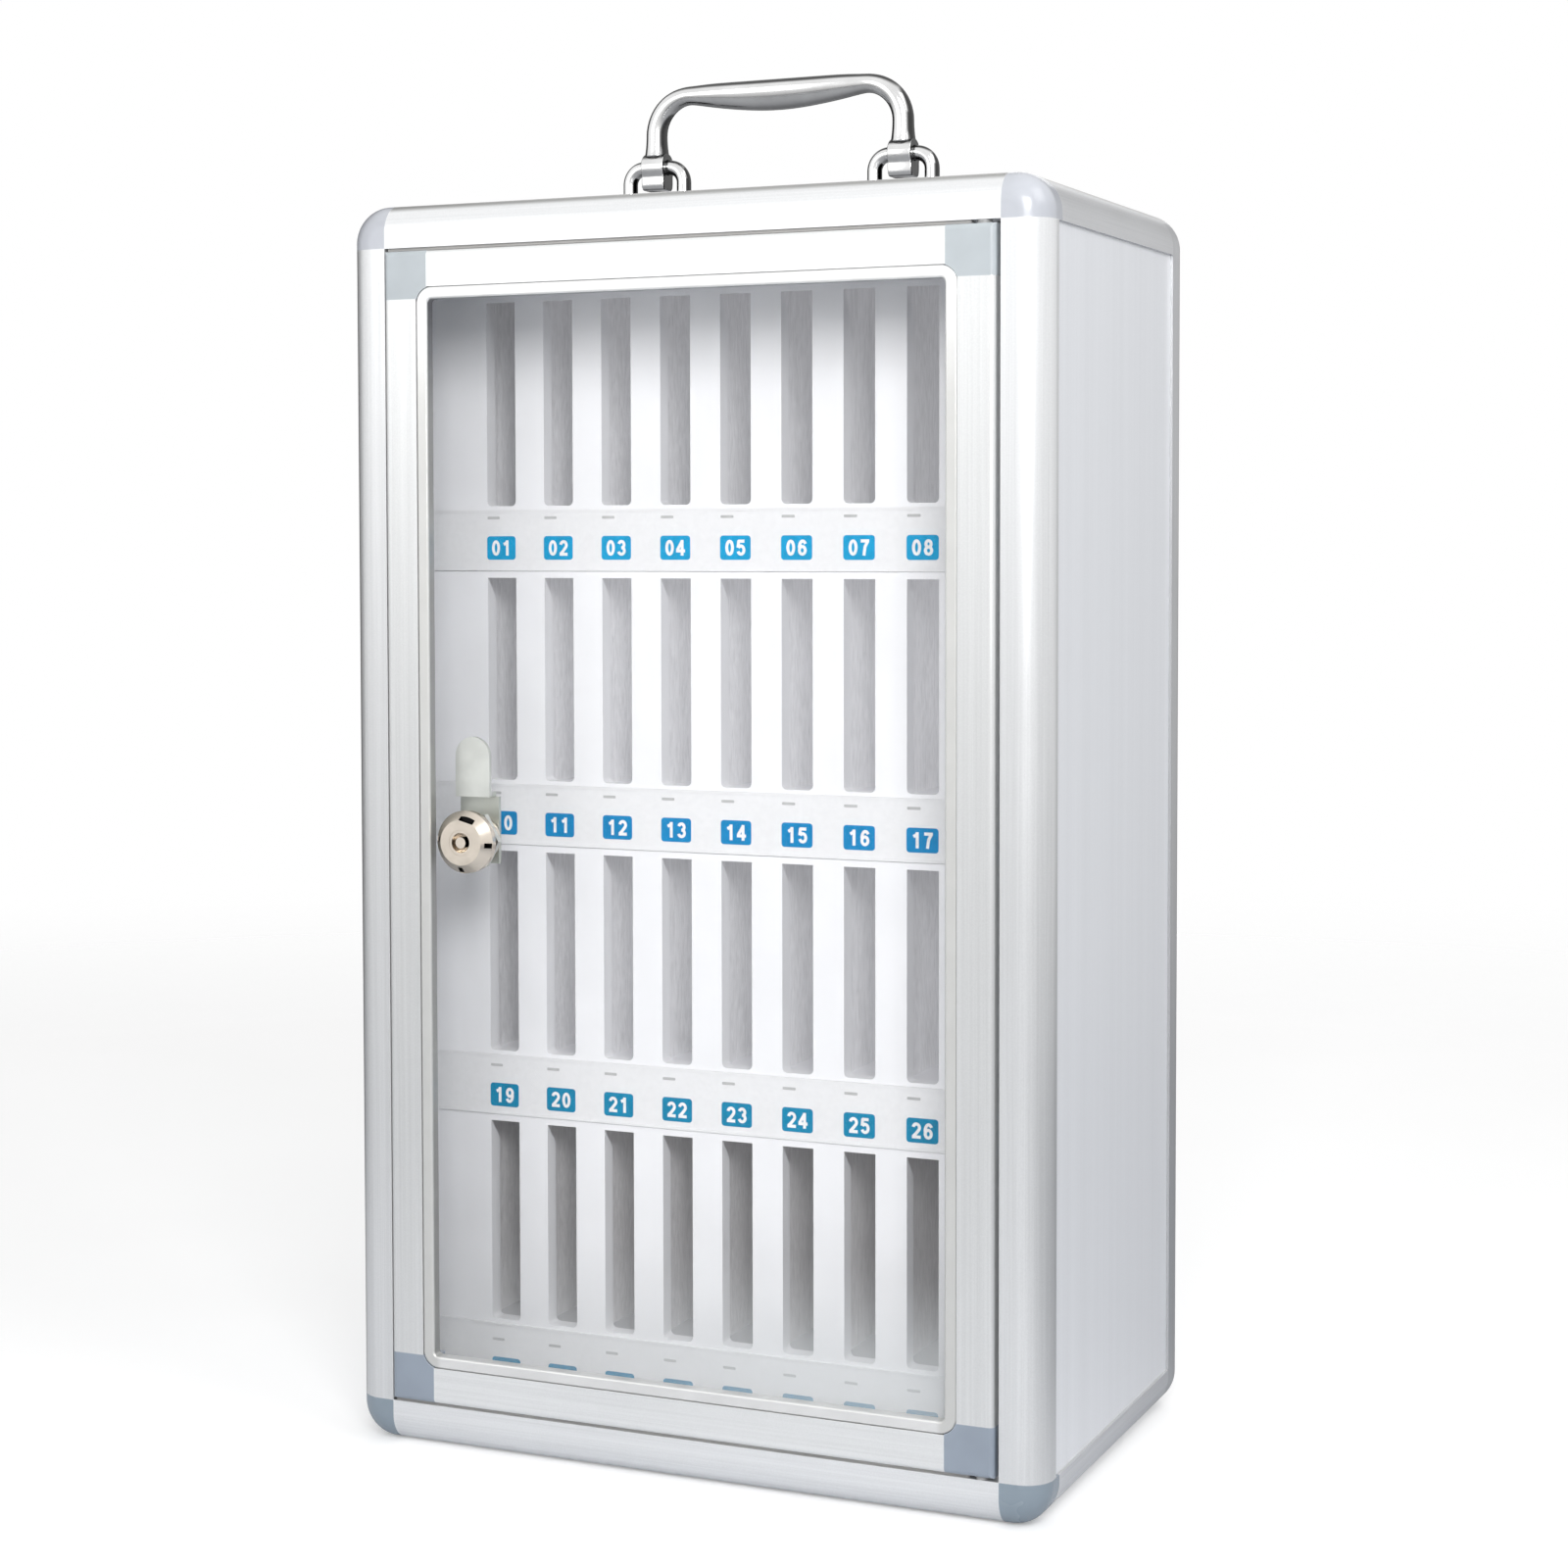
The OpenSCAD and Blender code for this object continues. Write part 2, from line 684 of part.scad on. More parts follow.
// door frame, with depth measured from the door face
module door_face() { translate([0, -door_proud, 0]) children(); }
module door_section() {
  difference() {
    square([door_flat, door_t]);
    corner_cut(door_edge_r);
    translate([0, door_t]) mirror([0, 1]) corner_cut(door_edge_r);
    translate([door_hollow[0], door_hollow_v[0]])
      square([door_hollow[1] - door_hollow[0],
        door_hollow_v[1] - door_hollow_v[0]]);
    translate([door_flat - pane_bite - pane_fit, pane_deep - pane_fit])
      square([pane_bite + pane_fit + over, pane_t + 2 * pane_fit]);
  }
}
module door_upright() {
  door_face() translate([door_x, 0, door_z + block])
    linear_extrude(cab_h - 2 * (door_z + block)) door_section();
}
module door_bar() {
  door_face() translate([door_x + block, 0, door_top]) rotate([0, 90, 0])
    linear_extrude(door_w - 2 * block) door_section();
}
module door_left_rail() color("#e0e1e1") place() door_upright();
module door_right_rail() color("#dcdddd") place() at_hinge() door_upright();
module door_top_rail() color("#e6e6e6") place() door_bar();
module door_bottom_rail() color("#dfe0e1") place() at_bottom() door_bar();

// moulded corner of the door at the top left
module block_section() {
  difference() {
    square([block, door_t]);
    corner_cut(door_edge_r);
    translate([0, door_t]) mirror([0, 1]) corner_cut(door_edge_r);
  }
}
module door_peg() {
  translate([door_hollow[0] + peg_fit, door_hollow_v[0] + peg_fit, -eps])
    linear_extrude(peg_len)
      square([door_hollow[1] - door_hollow[0],
        door_hollow_v[1] - door_hollow_v[0]] - 2 * peg_fit * [1, 1]);
}
module door_corner(pinned) {
  pocket = door_flat - pane_bite - pane_fit;
  door_face() {
    difference() {
      intersection() {
        translate([door_x, 0, door_top - block])
          linear_extrude(block) block_section();
        translate([door_x, 0, door_top]) rotate([0, 90, 0])
          linear_extrude(block) block_section();
      }
      translate([door_x + block + bead_turn, -over,
          door_top - block - bead_turn]) rotate([-90, 0, 0])
        cylinder(r = bead_turn + bead_w + bead_gap,
          h = pane_deep - pane_fit + over);
      translate([door_x + pocket, pane_deep - pane_fit,
          door_top - block - over])
        cube([block, pane_t + 2 * pane_fit, block - pocket + over]);
      if (pinned) translate([door_x + hinge_in, hinge_deep + door_proud,
          door_top - pin_hold])
        cylinder(d = pin_d, h = pin_hold + over);
    }
    translate([door_x + block, 0, door_top]) rotate([0, 90, 0]) door_peg();
    translate([door_x, 0, door_top - block]) mirror([0, 0, 1]) door_peg();
  }
}
module door_corner_tl() color("#b9c4ca") place() door_corner(false);
module door_corner_tr() color("#b9c4ca") place() at_hinge()
  door_corner(true);
module door_corner_bl() color("#a3b0bb") place() at_bottom()
  door_corner(false);
module door_corner_br() color("#a3b0bb") place() at_bottom() at_hinge()
  door_corner(true);

// bead in front of the pane, flat with both its edges rounded
module bead_section() {
  deep = pane_deep - pane_fit - bead_drop;
  translate([0, bead_drop]) difference() {
    square([bead_w, deep]);
    corner_cut(bead_nose);
    translate([bead_w, 0]) mirror([1, 0]) corner_cut(bead_edge);
  }
}
module bead_side(len) {
  rotate([0, 90, 0]) translate([0, 0, -len / 2]) linear_extrude(len)
    mirror([1, 0]) bead_section();
}
module pane_bead() color("#ebebeb") place() door_face() {
  in_x = door_w / 2 - block;
  in_z = cab_h / 2 - door_z - block;
  translate([door_x + door_w / 2, 0, cab_h / 2]) {
    for (s = [0, 1]) mirror([0, 0, s]) translate([0, 0, in_z])
      bead_side(2 * (in_x - bead_turn));
    for (s = [0, 1]) mirror([s, 0, 0]) translate([in_x, 0, 0])
      rotate([0, 90, 0]) bead_side(2 * (in_z - bead_turn));
    for (s = [0, 1]) for (t = [0, 1]) mirror([s, 0, 0]) mirror([0, 0, t])
      translate([in_x - bead_turn, 0, in_z - bead_turn]) rotate([90, 0, 0])
        mirror([0, 0, 1]) rotate_extrude(angle = 90)
          translate([bead_turn, 0]) bead_section();
  }
}
module pane() color("#dfe9ec") place() door_face() difference() {
  edge = door_flat - pane_bite;
  translate([door_x + edge, pane_deep, door_z + edge])
    cube([door_w - 2 * edge, pane_t, cab_h - 2 * (door_z + edge)]);
  translate([lock_x, 0, lock_z]) rotate([-90, 0, 0])
    cylinder(d = barrel_d + 2 * pane_fit, h = door_t);
}

// pins pressed into the right door corners, turning in the rails
module hinge_pin() {
  translate([hinge_x, hinge_deep, door_top - pin_hold])
    cylinder(d = pin_d, h = pin_hold + door_gap + pin_reach);
}
module hinge_pins() color("#9fa3a6") place() {
  hinge_pin();
  at_bottom() hinge_pin();
}
module hinge_washer() {
  translate([hinge_x, hinge_deep, door_top]) difference() {
    cylinder(d = washer_d, h = door_gap - washer_fit);
    translate([0, 0, -over]) cylinder(d = pin_d + 2 * washer_fit,
      h = door_gap + 2 * over);
  }
}
module hinge_washers() color("#f0f0ee") place() {
  hinge_washer();
  at_bottom() hinge_washer();
}

// things that turn on the lock axis, with height measured from the ring face
module lock_axis() {
  translate([lock_x, 0, lock_z]) rotate([-90, 0, 0]) children();
}
module lock_housing() color("#c9bfae") place() lock_axis() difference() {
  rotate_extrude() polygon([[0, -lock_proud], [lock_face_d / 2, -lock_proud],
    [lock_head_d / 2, lock_bevel - lock_proud], [lock_head_d / 2, pane_front],
    [barrel_d / 2, pane_front], [barrel_d / 2, barrel_end],
    [0, barrel_end]]);
  translate([0, 0, -lock_proud - over]) cylinder(d = plug_d + 2 * plug_run,
    h = barrel_end + lock_proud + 2 * over);
  for (a = [5, 95, 185]) rotate([0, 0, a])
    translate([lock_face_d / 2 + notch_w / 2, -notch_w / 2, -lock_proud])
      cube([lock_head_d, notch_w, lock_bevel]);
  rotate([0, 0, -75])
    translate([lock_face_d / 2 - recess_w / 4, -recess_len / 2, -lock_proud - over])
      cube([recess_w, recess_len, lock_bevel / 2 + over]);
}
module lock_nut() color("#b7b2a6") place() lock_axis()
  translate([0, 0, pane_back]) difference() {
    cylinder(d = lock_nut_w / cos(30), h = lock_nut_t, $fn = 6);
    translate([0, 0, -over]) cylinder(d = barrel_d + 2 * pane_fit,
      h = lock_nut_t + 2 * over);
  }
module lock_plug() color("#d2c9ba") place() lock_axis() {
  difference() {
    translate([0, 0, -lock_proud + plug_run])
      cylinder(d = plug_d, h = cam_hub_y + lock_proud - plug_run);
    translate([0, 0, -lock_proud]) difference() {
      cylinder(d = key_d, h = key_deep);
      cylinder(d = key_post_d, h = key_deep + over);
    }
  }
  translate([-square_w / 2, -square_w / 2, cam_hub_y - eps])
    cube([square_w, square_w, cam_t + cam_nut_t + eps]);
}
// cranked cam: hub plate behind the barrel, step, tongue close to the door
module lock_cam() color("#c6c8c4") place() translate([lock_x, 0, lock_z]) {
  hub = square_w + 2 * cam_t;
  left = -cam_w / 2 - cam_off;
  difference() {
    translate([left, cam_hub_y, -hub])
      cube([cam_w + cam_off, cam_t, hub + cam_step]);
    translate([-square_w / 2 - square_fit, cam_hub_y - over,
        -square_w / 2 - square_fit])
      cube([square_w + 2 * square_fit, cam_t + 2 * over,
        square_w + 2 * square_fit]);
  }
  translate([left, cam_y, cam_step])
    cube([cam_w, cam_hub_y + cam_t - cam_y, cam_t]);
  translate([left, cam_y, cam_step])
    cube([cam_w, cam_t, cam_reach - cam_w / 2 - cam_step]);
  translate([-cam_off, cam_y, cam_reach - cam_w / 2]) rotate([-90, 0, 0])
    cylinder(d = cam_w, h = cam_t);
}
module cam_nut() color("#a9a9a4") place() lock_axis()
  translate([0, 0, cam_hub_y + cam_t]) difference() {
    cylinder(d = cam_nut_d / cos(30), h = cam_nut_t, $fn = 6);
    translate([-square_w / 2 - square_fit, -square_w / 2 - square_fit, -over])
      cube([square_w + 2 * square_fit, square_w + 2 * square_fit,
        cam_nut_t + 2 * over]);
  }

// folding handle: eyes with square feet, legs and a grip that swells below
module bail_half() {
  leg_x = saddle_pitch / 2;
  rod_z = grip_z - bail_d / 2;
  difference() {
    union() {
      translate([leg_x - eye_w / 2, 0, axis_z]) rotate([0, 90, 0])
        linear_extrude(eye_w) {
          circle(d = eye_d);
          translate([0, -foot_d / 2]) square([foot_drop, foot_d]);
        }
      translate([leg_x, 0, axis_z])
        cylinder(d = bail_d, h = rod_z - bail_bend - axis_z);
    }
    translate([leg_x - eye_w, 0, axis_z]) rotate([0, 90, 0])
      cylinder(d = saddle_d + 2 * eye_run, h = 2 * eye_w);
  }
  translate([leg_x - bail_bend, 0, rod_z - bail_bend]) rotate([90, 0, 0])
    rotate_extrude(angle = 90) translate([bail_bend, 0])
      circle(d = bail_d);
}
module handle_bail() color("#cfd1d3") place()
  translate([cab_w / 2, hand_y, 0]) {
    half = saddle_pitch / 2 - bail_bend;
    sag = grip_d - bail_d;
    belly_r = (grip_len * grip_len / 4 + sag * sag) / (2 * sag);
    for (s = [0, 1]) mirror([s, 0, 0]) bail_half();
    translate([-half, 0, grip_z - bail_d / 2]) rotate([0, 90, 0])
      cylinder(d = bail_d, h = 2 * half);
    intersection() {
      translate([-grip_len / 2, 0, grip_z - grip_d / 2])
        rotate([0, 90, 0]) cylinder(d = grip_d, h = grip_len);
      translate([0, grip_d, grip_z - grip_d + belly_r])
        rotate([90, 0, 0]) cylinder(r = belly_r, h = 2 * grip_d);
    }
  }

front_top_rail();
front_bottom_rail();
front_left_stile();
front_right_stile();
cap_top_left();
cap_top_right();
cap_bottom_left();
cap_bottom_right();
edge_top_left();
edge_top_right();
edge_bottom_left();
edge_bottom_right();
rear_top_rail();
rear_bottom_rail();
rear_left_stile();
rear_right_stile();
left_panel();
right_panel();
top_panel();
bottom_panel();
back_panel();
box_left_wall();
box_right_wall();
box_back();
shelves();
slot_panel_1();
slot_panel_2();
slot_panel_3();
slot_panel_4();
label_strip_1();
label_strip_2();
label_strip_3();
label_strip_4();
dividers_1();
dividers_2();
dividers_3();
dividers_4();
saddle_left();
saddle_right();
saddle_nuts();
door_stops();
door_top_rail();
door_bottom_rail();
door_left_rail();
door_right_rail();
door_corner_tl();
door_corner_tr();
door_corner_bl();
door_corner_br();
pane_bead();
pane();
hinge_pins();
hinge_washers();
lock_housing();
lock_nut();
lock_plug();
lock_cam();
cam_nut();
handle_bail();
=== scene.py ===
import json
import math

import bmesh
import bpy
from bpy.props import (FloatProperty, FloatVectorProperty, IntProperty,
                       PointerProperty)
from mathutils import Matrix, Vector


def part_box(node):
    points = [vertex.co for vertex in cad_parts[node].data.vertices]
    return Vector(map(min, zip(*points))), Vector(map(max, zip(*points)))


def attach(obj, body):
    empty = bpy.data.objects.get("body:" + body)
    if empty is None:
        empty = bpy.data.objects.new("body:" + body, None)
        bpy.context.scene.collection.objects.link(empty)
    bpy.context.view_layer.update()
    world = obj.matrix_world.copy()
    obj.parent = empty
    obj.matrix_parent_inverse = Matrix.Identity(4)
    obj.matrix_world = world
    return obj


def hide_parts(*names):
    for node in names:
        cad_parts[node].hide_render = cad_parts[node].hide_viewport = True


bl_info = {
    "name": "Phone cabinet",
    "version": (1, 0, 0),
    "blender": (4, 5, 0),
    "location": "3D View > Sidebar > Cabinet",
    "description": "Finishes, numbers, handle and stage of a phone cabinet",
    "category": "Add Mesh",
}

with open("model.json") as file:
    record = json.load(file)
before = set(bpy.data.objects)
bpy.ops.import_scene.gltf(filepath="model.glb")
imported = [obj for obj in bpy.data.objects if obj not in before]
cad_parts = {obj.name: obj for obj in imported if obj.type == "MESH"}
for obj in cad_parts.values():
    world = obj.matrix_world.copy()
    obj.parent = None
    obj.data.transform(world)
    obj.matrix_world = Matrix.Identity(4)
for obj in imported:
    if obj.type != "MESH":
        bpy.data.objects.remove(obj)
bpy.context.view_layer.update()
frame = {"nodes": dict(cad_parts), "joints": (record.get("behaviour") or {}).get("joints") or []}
ROWS = (1, 2, 3, 4)
MM = 0.001
# axis, from, to and level of the painted shade behind the pane: a painted soft shadow at the
# left and painted shade low on the inner boards
LEFT_SHADE = (0, -0.14, -0.1, 0.84)
FLOOR_SHADE = (2, 0.02, 0.09, 0.5)
# front of the lock's head as the CAD has it, and the plate of its cam
LOCK_FACE, LOCK_BEVEL = 19.5 * MM, 4.2 * MM
CAM_CRANK, CAM_DEEP = 2.1 * MM, 20 * MM
# where the handle's legs widen into the eyes, and the eyes' round rims
FLARE_TALL, FLARE_WIDE, FLARE_DEEP = 9.5 * MM, 0.8 * MM, 1.1 * MM
EYE_RIM = 0.8 * MM


def tone(red, green, blue):
    """Scene colour of an 8 bit screen colour."""
    def linear(c):
        c /= 255
        return c / 12.92 if c <= 0.04045 else ((c + 0.055) / 1.055) ** 2.4
    return linear(red), linear(green), linear(blue)


def grey(level):
    """Scene colour of a grey screen level."""
    return tone(level, level, level)


# -------------------------------------------------------------- settings
def length(name, text, default):
    """Setting in metres."""
    return FloatProperty(name=name, description=text, default=default,
                         min=0, unit="LENGTH", precision=5)


def colour(name, text, default):
    """Colour setting."""
    return FloatVectorProperty(name=name, description=text, default=default,
                               size=3, min=0, max=1, subtype="COLOR")


def power(name, text, default):
    """Power of a lamp."""
    return FloatProperty(name=name, description=text, default=default,
                         min=0, unit="POWER")


class CabinetColours(bpy.types.PropertyGroup):
    """Colours of the cabinet's finishes."""
    frame: colour("Frame", "Satin aluminium of the front ring",
                  tone(240, 241, 242))
    # the long and rear rails take a darker copy of the frame's aluminium: painted shade
    edge: colour("Edge rails", "Satin aluminium of the long and rear rails",
                 tone(222, 223, 225))
    door: colour("Door frame", "Satin aluminium of the door",
                 tone(239, 240, 240))
    bead: colour("Bead", "Smooth aluminium bead round the pane",
                 tone(238, 238, 237))
    # upper and lower caps, and upper and lower door corners, are lit and shaded copies of one
    # plastic: the lower ones are darker as painted shade
    cap_top: colour("Upper caps", "Moulded caps at the top",
                    tone(190, 193, 200))
    cap_bottom: colour("Lower caps", "Moulded caps at the bottom",
                       tone(134, 147, 158))
    block_top: colour("Upper door corners", "Moulded corners of the door",
                      tone(182, 189, 193))
    block_bottom: colour("Lower door corners", "Moulded corners of the door",
                         tone(142, 152, 165))
    panel: colour("Panels", "Composite sheets of the body",
                  tone(238, 240, 244))
    board: colour("Boards", "Walls and shelves inside", tone(248, 248, 251))
    lining: colour("Lining", "Dividers and inner back", tone(240, 240, 242))
    # a slightly darker copy of the lining: painted shade on the lowest row
    lining_low: colour("Lower lining", "Dividers of the lowest row",
                       tone(236, 235, 236))
    slots: colour("Slot panels", "Moulded white sheets", tone(250, 250, 252))
    strip: colour("Label strips", "Strips that carry the numbers",
                  tone(243, 243, 244))
    plate: colour("Upper plates", "Blue of the first row",
                  tone(0, 160, 212))
    plate_mid: colour("Middle plates", "Deeper blue of the second row",
                      tone(0, 136, 196))
    plate_low: colour("Lower plates", "Blue green of the lower two rows",
                      tone(0, 137, 179))
    digit: colour("Digits", "White of the numbers", grey(250))
    dash: colour("Dashes", "Grey of the short dashes", grey(196))
    chrome: colour("Chrome", "Plating of the handle", grey(236))
    nickel: colour("Nickel", "Plating of the lock", tone(222, 212, 199))
    zinc: colour("Zinc", "Plating of cam, nuts and pins",
                 tone(218, 220, 215))
    washer: colour("Washers", "Grey of the hinge washers", grey(150))
    seal: colour("Seals", "Seal strips beside the door",
                 tone(172, 170, 168))
    pane: colour("Pane", "Clear sheet", tone(246, 250, 252))


class CabinetNumbers(bpy.types.PropertyGroup):
    """Sizes of the printed number plates."""
    columns: IntProperty(name="Columns", description="Numbers in a row",
                         default=9, min=1, max=12)
    pitch: length("Pitch", "Distance between two numbers", 0.0285)
    width: length("Plate width", "Width of a plate", 0.0143)
    height: length("Plate height", "Height of a plate", 0.0105)
    corner: length("Plate corner", "Rounding of a plate", 0.0014)
    below: length("Plate middle", "Distance below the strip's upper edge",
                  0.0168)
    drift: length("Drift", "How much lower the plates sit in each next row",
                  0.0007)
    last_drop: length("Lowest row", "How much lower the lowest plates sit",
                      0.0020)
    skin: length("Print thickness", "Thickness of one printed layer",
                 0.00012)
    digit: length("Digit height", "Height of the digits", 0.0068)
    stroke: length("Stroke", "Width of the strokes of a digit", 0.00135)
    dash_width: length("Dash width", "Width of a dash", 0.006)
    dash_height: length("Dash height", "Height of a dash", 0.0012)
    dash_over: length("Dash place", "Distance above the plate middle",
                      0.0134)


class CabinetHandle(bpy.types.PropertyGroup):
    """Sizes of the folding handle."""
    span: length("Leg distance", "Distance between the two legs", 0.118)
    top: length("Rod height", "Height of the rod above the axis", 0.03145)
    bend: length("Bend", "Radius of the corners", 0.017)
    rod: length("Rod", "Thickness of legs and corners", 0.0095)
    swell: length("Swelling", "How much the grip swells below", 0.0042)
    grip: length("Grip", "Length of the swelling", 0.084)
    waist: length("Waist", "How much the rod narrows beside the grip",
                  0.0006)
    eye: length("Eye", "Outer diameter of an eye", 0.013)
    bore: length("Bore", "Bore of an eye", 0.00662)
    eye_width: length("Eye width", "Width of an eye", 0.011)
    foot: length("Foot", "Depth of the square foot", 0.0105)
    drop: length("Foot drop", "Reach of the foot below the axis", 0.0102)


class CabinetStage(bpy.types.PropertyGroup):
    """Light, floor and camera."""
    key: power("Key lamp", "Upper front lamp", 13)
    fill: power("Fill lamp", "Right side lamp", 6)
    left: power("Left lamp", "Left front lamp", 2.6)
    rear: power("Rear lamp", "Lamp behind", 6)
    sky: FloatProperty(name="Sky", description="Level of the light tent",
                       default=0.52, min=0, max=2)
    dark: FloatProperty(name="Dark side", description="Level of the tent's "
                        "dark side in reflections", default=0.08, min=0,
                        max=1)
    floor_radius: length("Floor radius", "Radius of the floor", 2.2)
    lens: FloatProperty(name="Lens", description="Focal length",
                        default=68.39, min=1, unit="CAMERA")


# ------------------------------------------------------------ node tools
def fill(tree, sockets, values):
    """Links or sets sockets, by name or number."""
    for key, value in values.items():
        if isinstance(value, bpy.types.NodeSocket):
            tree.links.new(value, sockets[key])
        else:
            sockets[key].default_value = value


def add(tree, kind, inputs=None, **props):
    """Adds a node, sets its properties and fills or links its inputs."""
    node = tree.nodes.new(kind)
    for key, value in props.items():
        setattr(node, key, value)
    fill(tree, node.inputs, inputs or {})
    return node


def calc(tree, operation, *values, clamp=False):
    """Math node."""
    return add(tree, "ShaderNodeMath", dict(enumerate(values)),
               operation=operation, use_clamp=clamp).outputs[0]


def times(tree, first, second, clamp=False):
    """Product of two values."""
    return calc(tree, "MULTIPLY", first, second, clamp=clamp)


def vector_calc(tree, operation, *values):
    """Vector math node that gives a vector."""
    return add(tree, "ShaderNodeVectorMath", dict(enumerate(values)),
               operation=operation).outputs[0]


def measure(tree, operation, *values):
    """Vector math node that gives a number."""
    return add(tree, "ShaderNodeVectorMath", dict(enumerate(values)),
               operation=operation).outputs["Value"]


def parts_of(tree, vector):
    """X, Y and Z of a vector."""
    return add(tree, "ShaderNodeSeparateXYZ", {0: vector}).outputs


def facing(tree):
    """World normal."""
    return add(tree, "ShaderNodeNewGeometry").outputs["Normal"]


def blend(tree, factor, first, second, mode="MIX"):
    """Colour mix: the first colour at 0, the second at 1."""
    both = [c + (1,) if isinstance(c, tuple) else c
            for c in (first, second)]
    return add(tree, "ShaderNodeMix", {0: factor, 6: both[0], 7: both[1]},
               data_type="RGBA", blend_type=mode).outputs[2]


def ramp(tree, value, low, high, start=0.0, end=1.0):
    """Smooth step from start to end as value goes from low to high."""
    return add(tree, "ShaderNodeMapRange",
               {0: value, 1: low, 2: high, 3: start, 4: end},
               interpolation_type="SMOOTHSTEP").outputs[0]


def noise(tree, vector, scale, detail=2.0, rough=0.5):
    """Noise value between 0 and 1."""
    return add(tree, "ShaderNodeTexNoise",
               {"Vector": vector, "Scale": scale, "Detail": detail,
                "Roughness": rough}).outputs[0]


# --------------------------------------------------------- shader groups
def new_group(name, inputs, outputs):
    """Empty shader group: its tree, input sockets and output sockets."""
    tree = bpy.data.node_groups.new(name, "ShaderNodeTree")
    for label, kind, value in inputs:
        socket = tree.interface.new_socket(
            name=label, in_out="INPUT", socket_type="NodeSocket" + kind)
        if value is not None:
            socket.default_value = value
    for label in outputs:
        tree.interface.new_socket(name=label, in_out="OUTPUT",
                                  socket_type="NodeSocketFloat")
    source = tree.nodes.new("NodeGroupInput").outputs
    sink = tree.nodes.new("NodeGroupOutput").inputs
    return tree, source, sink


def brushed_group():
    """Fine lines along a rail: Stretch is the number of lines per metre
    along each axis."""
    tree, source, sink = new_group(
        "Brushed lines",
        [("Vector", "Vector", None), ("Stretch", "Vector", (8, 900, 900)),
         ("Broad", "Float", 0.4)], ("Tone", "Height"))
    lines = vector_calc(tree, "MULTIPLY", source["Vector"],
                        source["Stretch"])
    fine = noise(tree, lines, 1.0, 3.0, 0.6)
    wide = noise(tree, vector_calc(tree, "MULTIPLY", lines,
                                   (0.3, 0.12, 0.12)), 1.0, 2.0)
    grain = noise(tree, source["Vector"], 1400, 2.0)
    both = add(tree, "ShaderNodeMix", {0: source["Broad"], 2: fine, 3: wide})
    both = add(tree, "ShaderNodeMix", {0: 0.25, 2: both.outputs[0],
                                       3: grain})
    fill(tree, sink, {"Tone": both.outputs[0], "Height": fine})
    return tree


def mottle_group():
    """Uneven colour and gloss of a moulded or coated surface."""
    tree, source, sink = new_group(
        "Mottle", [("Vector", "Vector", None), ("Scale", "Float", 60.0)],
        ("Tone", "Fine"))
    fine_scale = times(tree, source["Scale"], 14.0)
    fill(tree, sink, {
        "Tone": noise(tree, source["Vector"], source["Scale"], 3.0),
        "Fine": noise(tree, source["Vector"], fine_scale, 2.0)})
    return tree


def wear_group():
    """Mask of rubbed edges, broken up by noise."""
    tree, source, sink = new_group(
        "Edge wear",
        [("Vector", "Vector", None), ("Radius", "Float", 0.0008),
         ("Gain", "Float", 6.0)], ("Mask",))
    soft = add(tree, "ShaderNodeBevel", {"Radius": source["Radius"]},
               samples=4).outputs[0]
    dot = measure(tree, "DOT_PRODUCT", soft, facing(tree))
    edge = times(tree, calc(tree, "SUBTRACT", 1.0, dot), source["Gain"])
    patchy = ramp(tree, noise(tree, source["Vector"], 160.0, 3.0), 0.3, 0.6,
                  0.45, 1.0)
    fill(tree, sink, {"Mask": times(tree, edge, patchy, clamp=True)})
    return tree


def turned_group():
    """Fine turned rings round the Y axis of a centred vector."""
    tree, source, sink = new_group(
        "Turned rings",
        [("Vector", "Vector", None), ("Rings", "Float", 4200.0)],
        ("Height",))
    radius = measure(tree, "LENGTH", vector_calc(
        tree, "MULTIPLY", source["Vector"], (1, 0, 1)))
    wobble = noise(tree, source["Vector"], 220.0, 2.0)
    phase = calc(tree, "ADD", times(tree, radius, source["Rings"]),
                 times(tree, wobble, 2.0))
    fill(tree, sink, {"Height": calc(tree, "MULTIPLY_ADD",
                                     calc(tree, "SINE", phase), 0.5, 0.5)})
    return tree


def flanks_group():
    """Mask of the left and right flanks, the top and the underside of
    polished rods, in the part's own axes, where dark reflections are painted."""
    tree, source, sink = new_group(
        "Dark flanks", [("Side", "Float", 1.0), ("Under", "Float", 0.85)],
        ("Mask",))
    normal = add(tree, "ShaderNodeVectorTransform", {0: facing(tree)},
                 vector_type="NORMAL", convert_from="WORLD",
                 convert_to="OBJECT").outputs[0]
    across, _, height = parts_of(tree, normal)
    side = calc(tree, "MAXIMUM",
                ramp(tree, calc(tree, "ABSOLUTE", across), 0.5, 0.76),
                ramp(tree, height, 0.47, 0.74))
    down = calc(tree, "ADD", ramp(tree, height, 0.0, -0.3, 0.0, 0.62),
                ramp(tree, height, -0.45, -0.95, 0.0, 0.38))
    fill(tree, sink, {"Mask": calc(
        tree, "MAXIMUM", times(tree, side, source["Side"]),
        times(tree, down, source["Under"]), clamp=True)})
    return tree


GROUPS = {"flanks": flanks_group, "brushed": brushed_group,
          "mottle": mottle_group, "wear": wear_group,
          "turned": turned_group}
_groups = {}


def use(tree, name, inputs):
    """Outputs of a shared shader group, placed in a material."""
    if name not in _groups:
        _groups[name] = GROUPS[name]()
    return add(tree, "ShaderNodeGroup", inputs,
               node_tree=_groups[name]).outputs


# ------------------------------------------------------------- materials
def start(name, roughness, metallic, scale, plain=None):
    """New material: itself, its tree, the sockets of its Principled
    shader, its object coordinates and its mottle of this scale."""
    material = bpy.data.materials.new(name)
    material.use_nodes = True
    tree = material.node_tree
    sockets = tree.nodes["Principled BSDF"].inputs
    fill(tree, sockets, {"Roughness": roughness, "Metallic": metallic,
                         **(plain or {})})
    place = add(tree, "ShaderNodeTexCoord").outputs["Object"]
    mottle = use(tree, "mottle", {"Vector": place, "Scale": scale})
    return material, tree, sockets, place, mottle


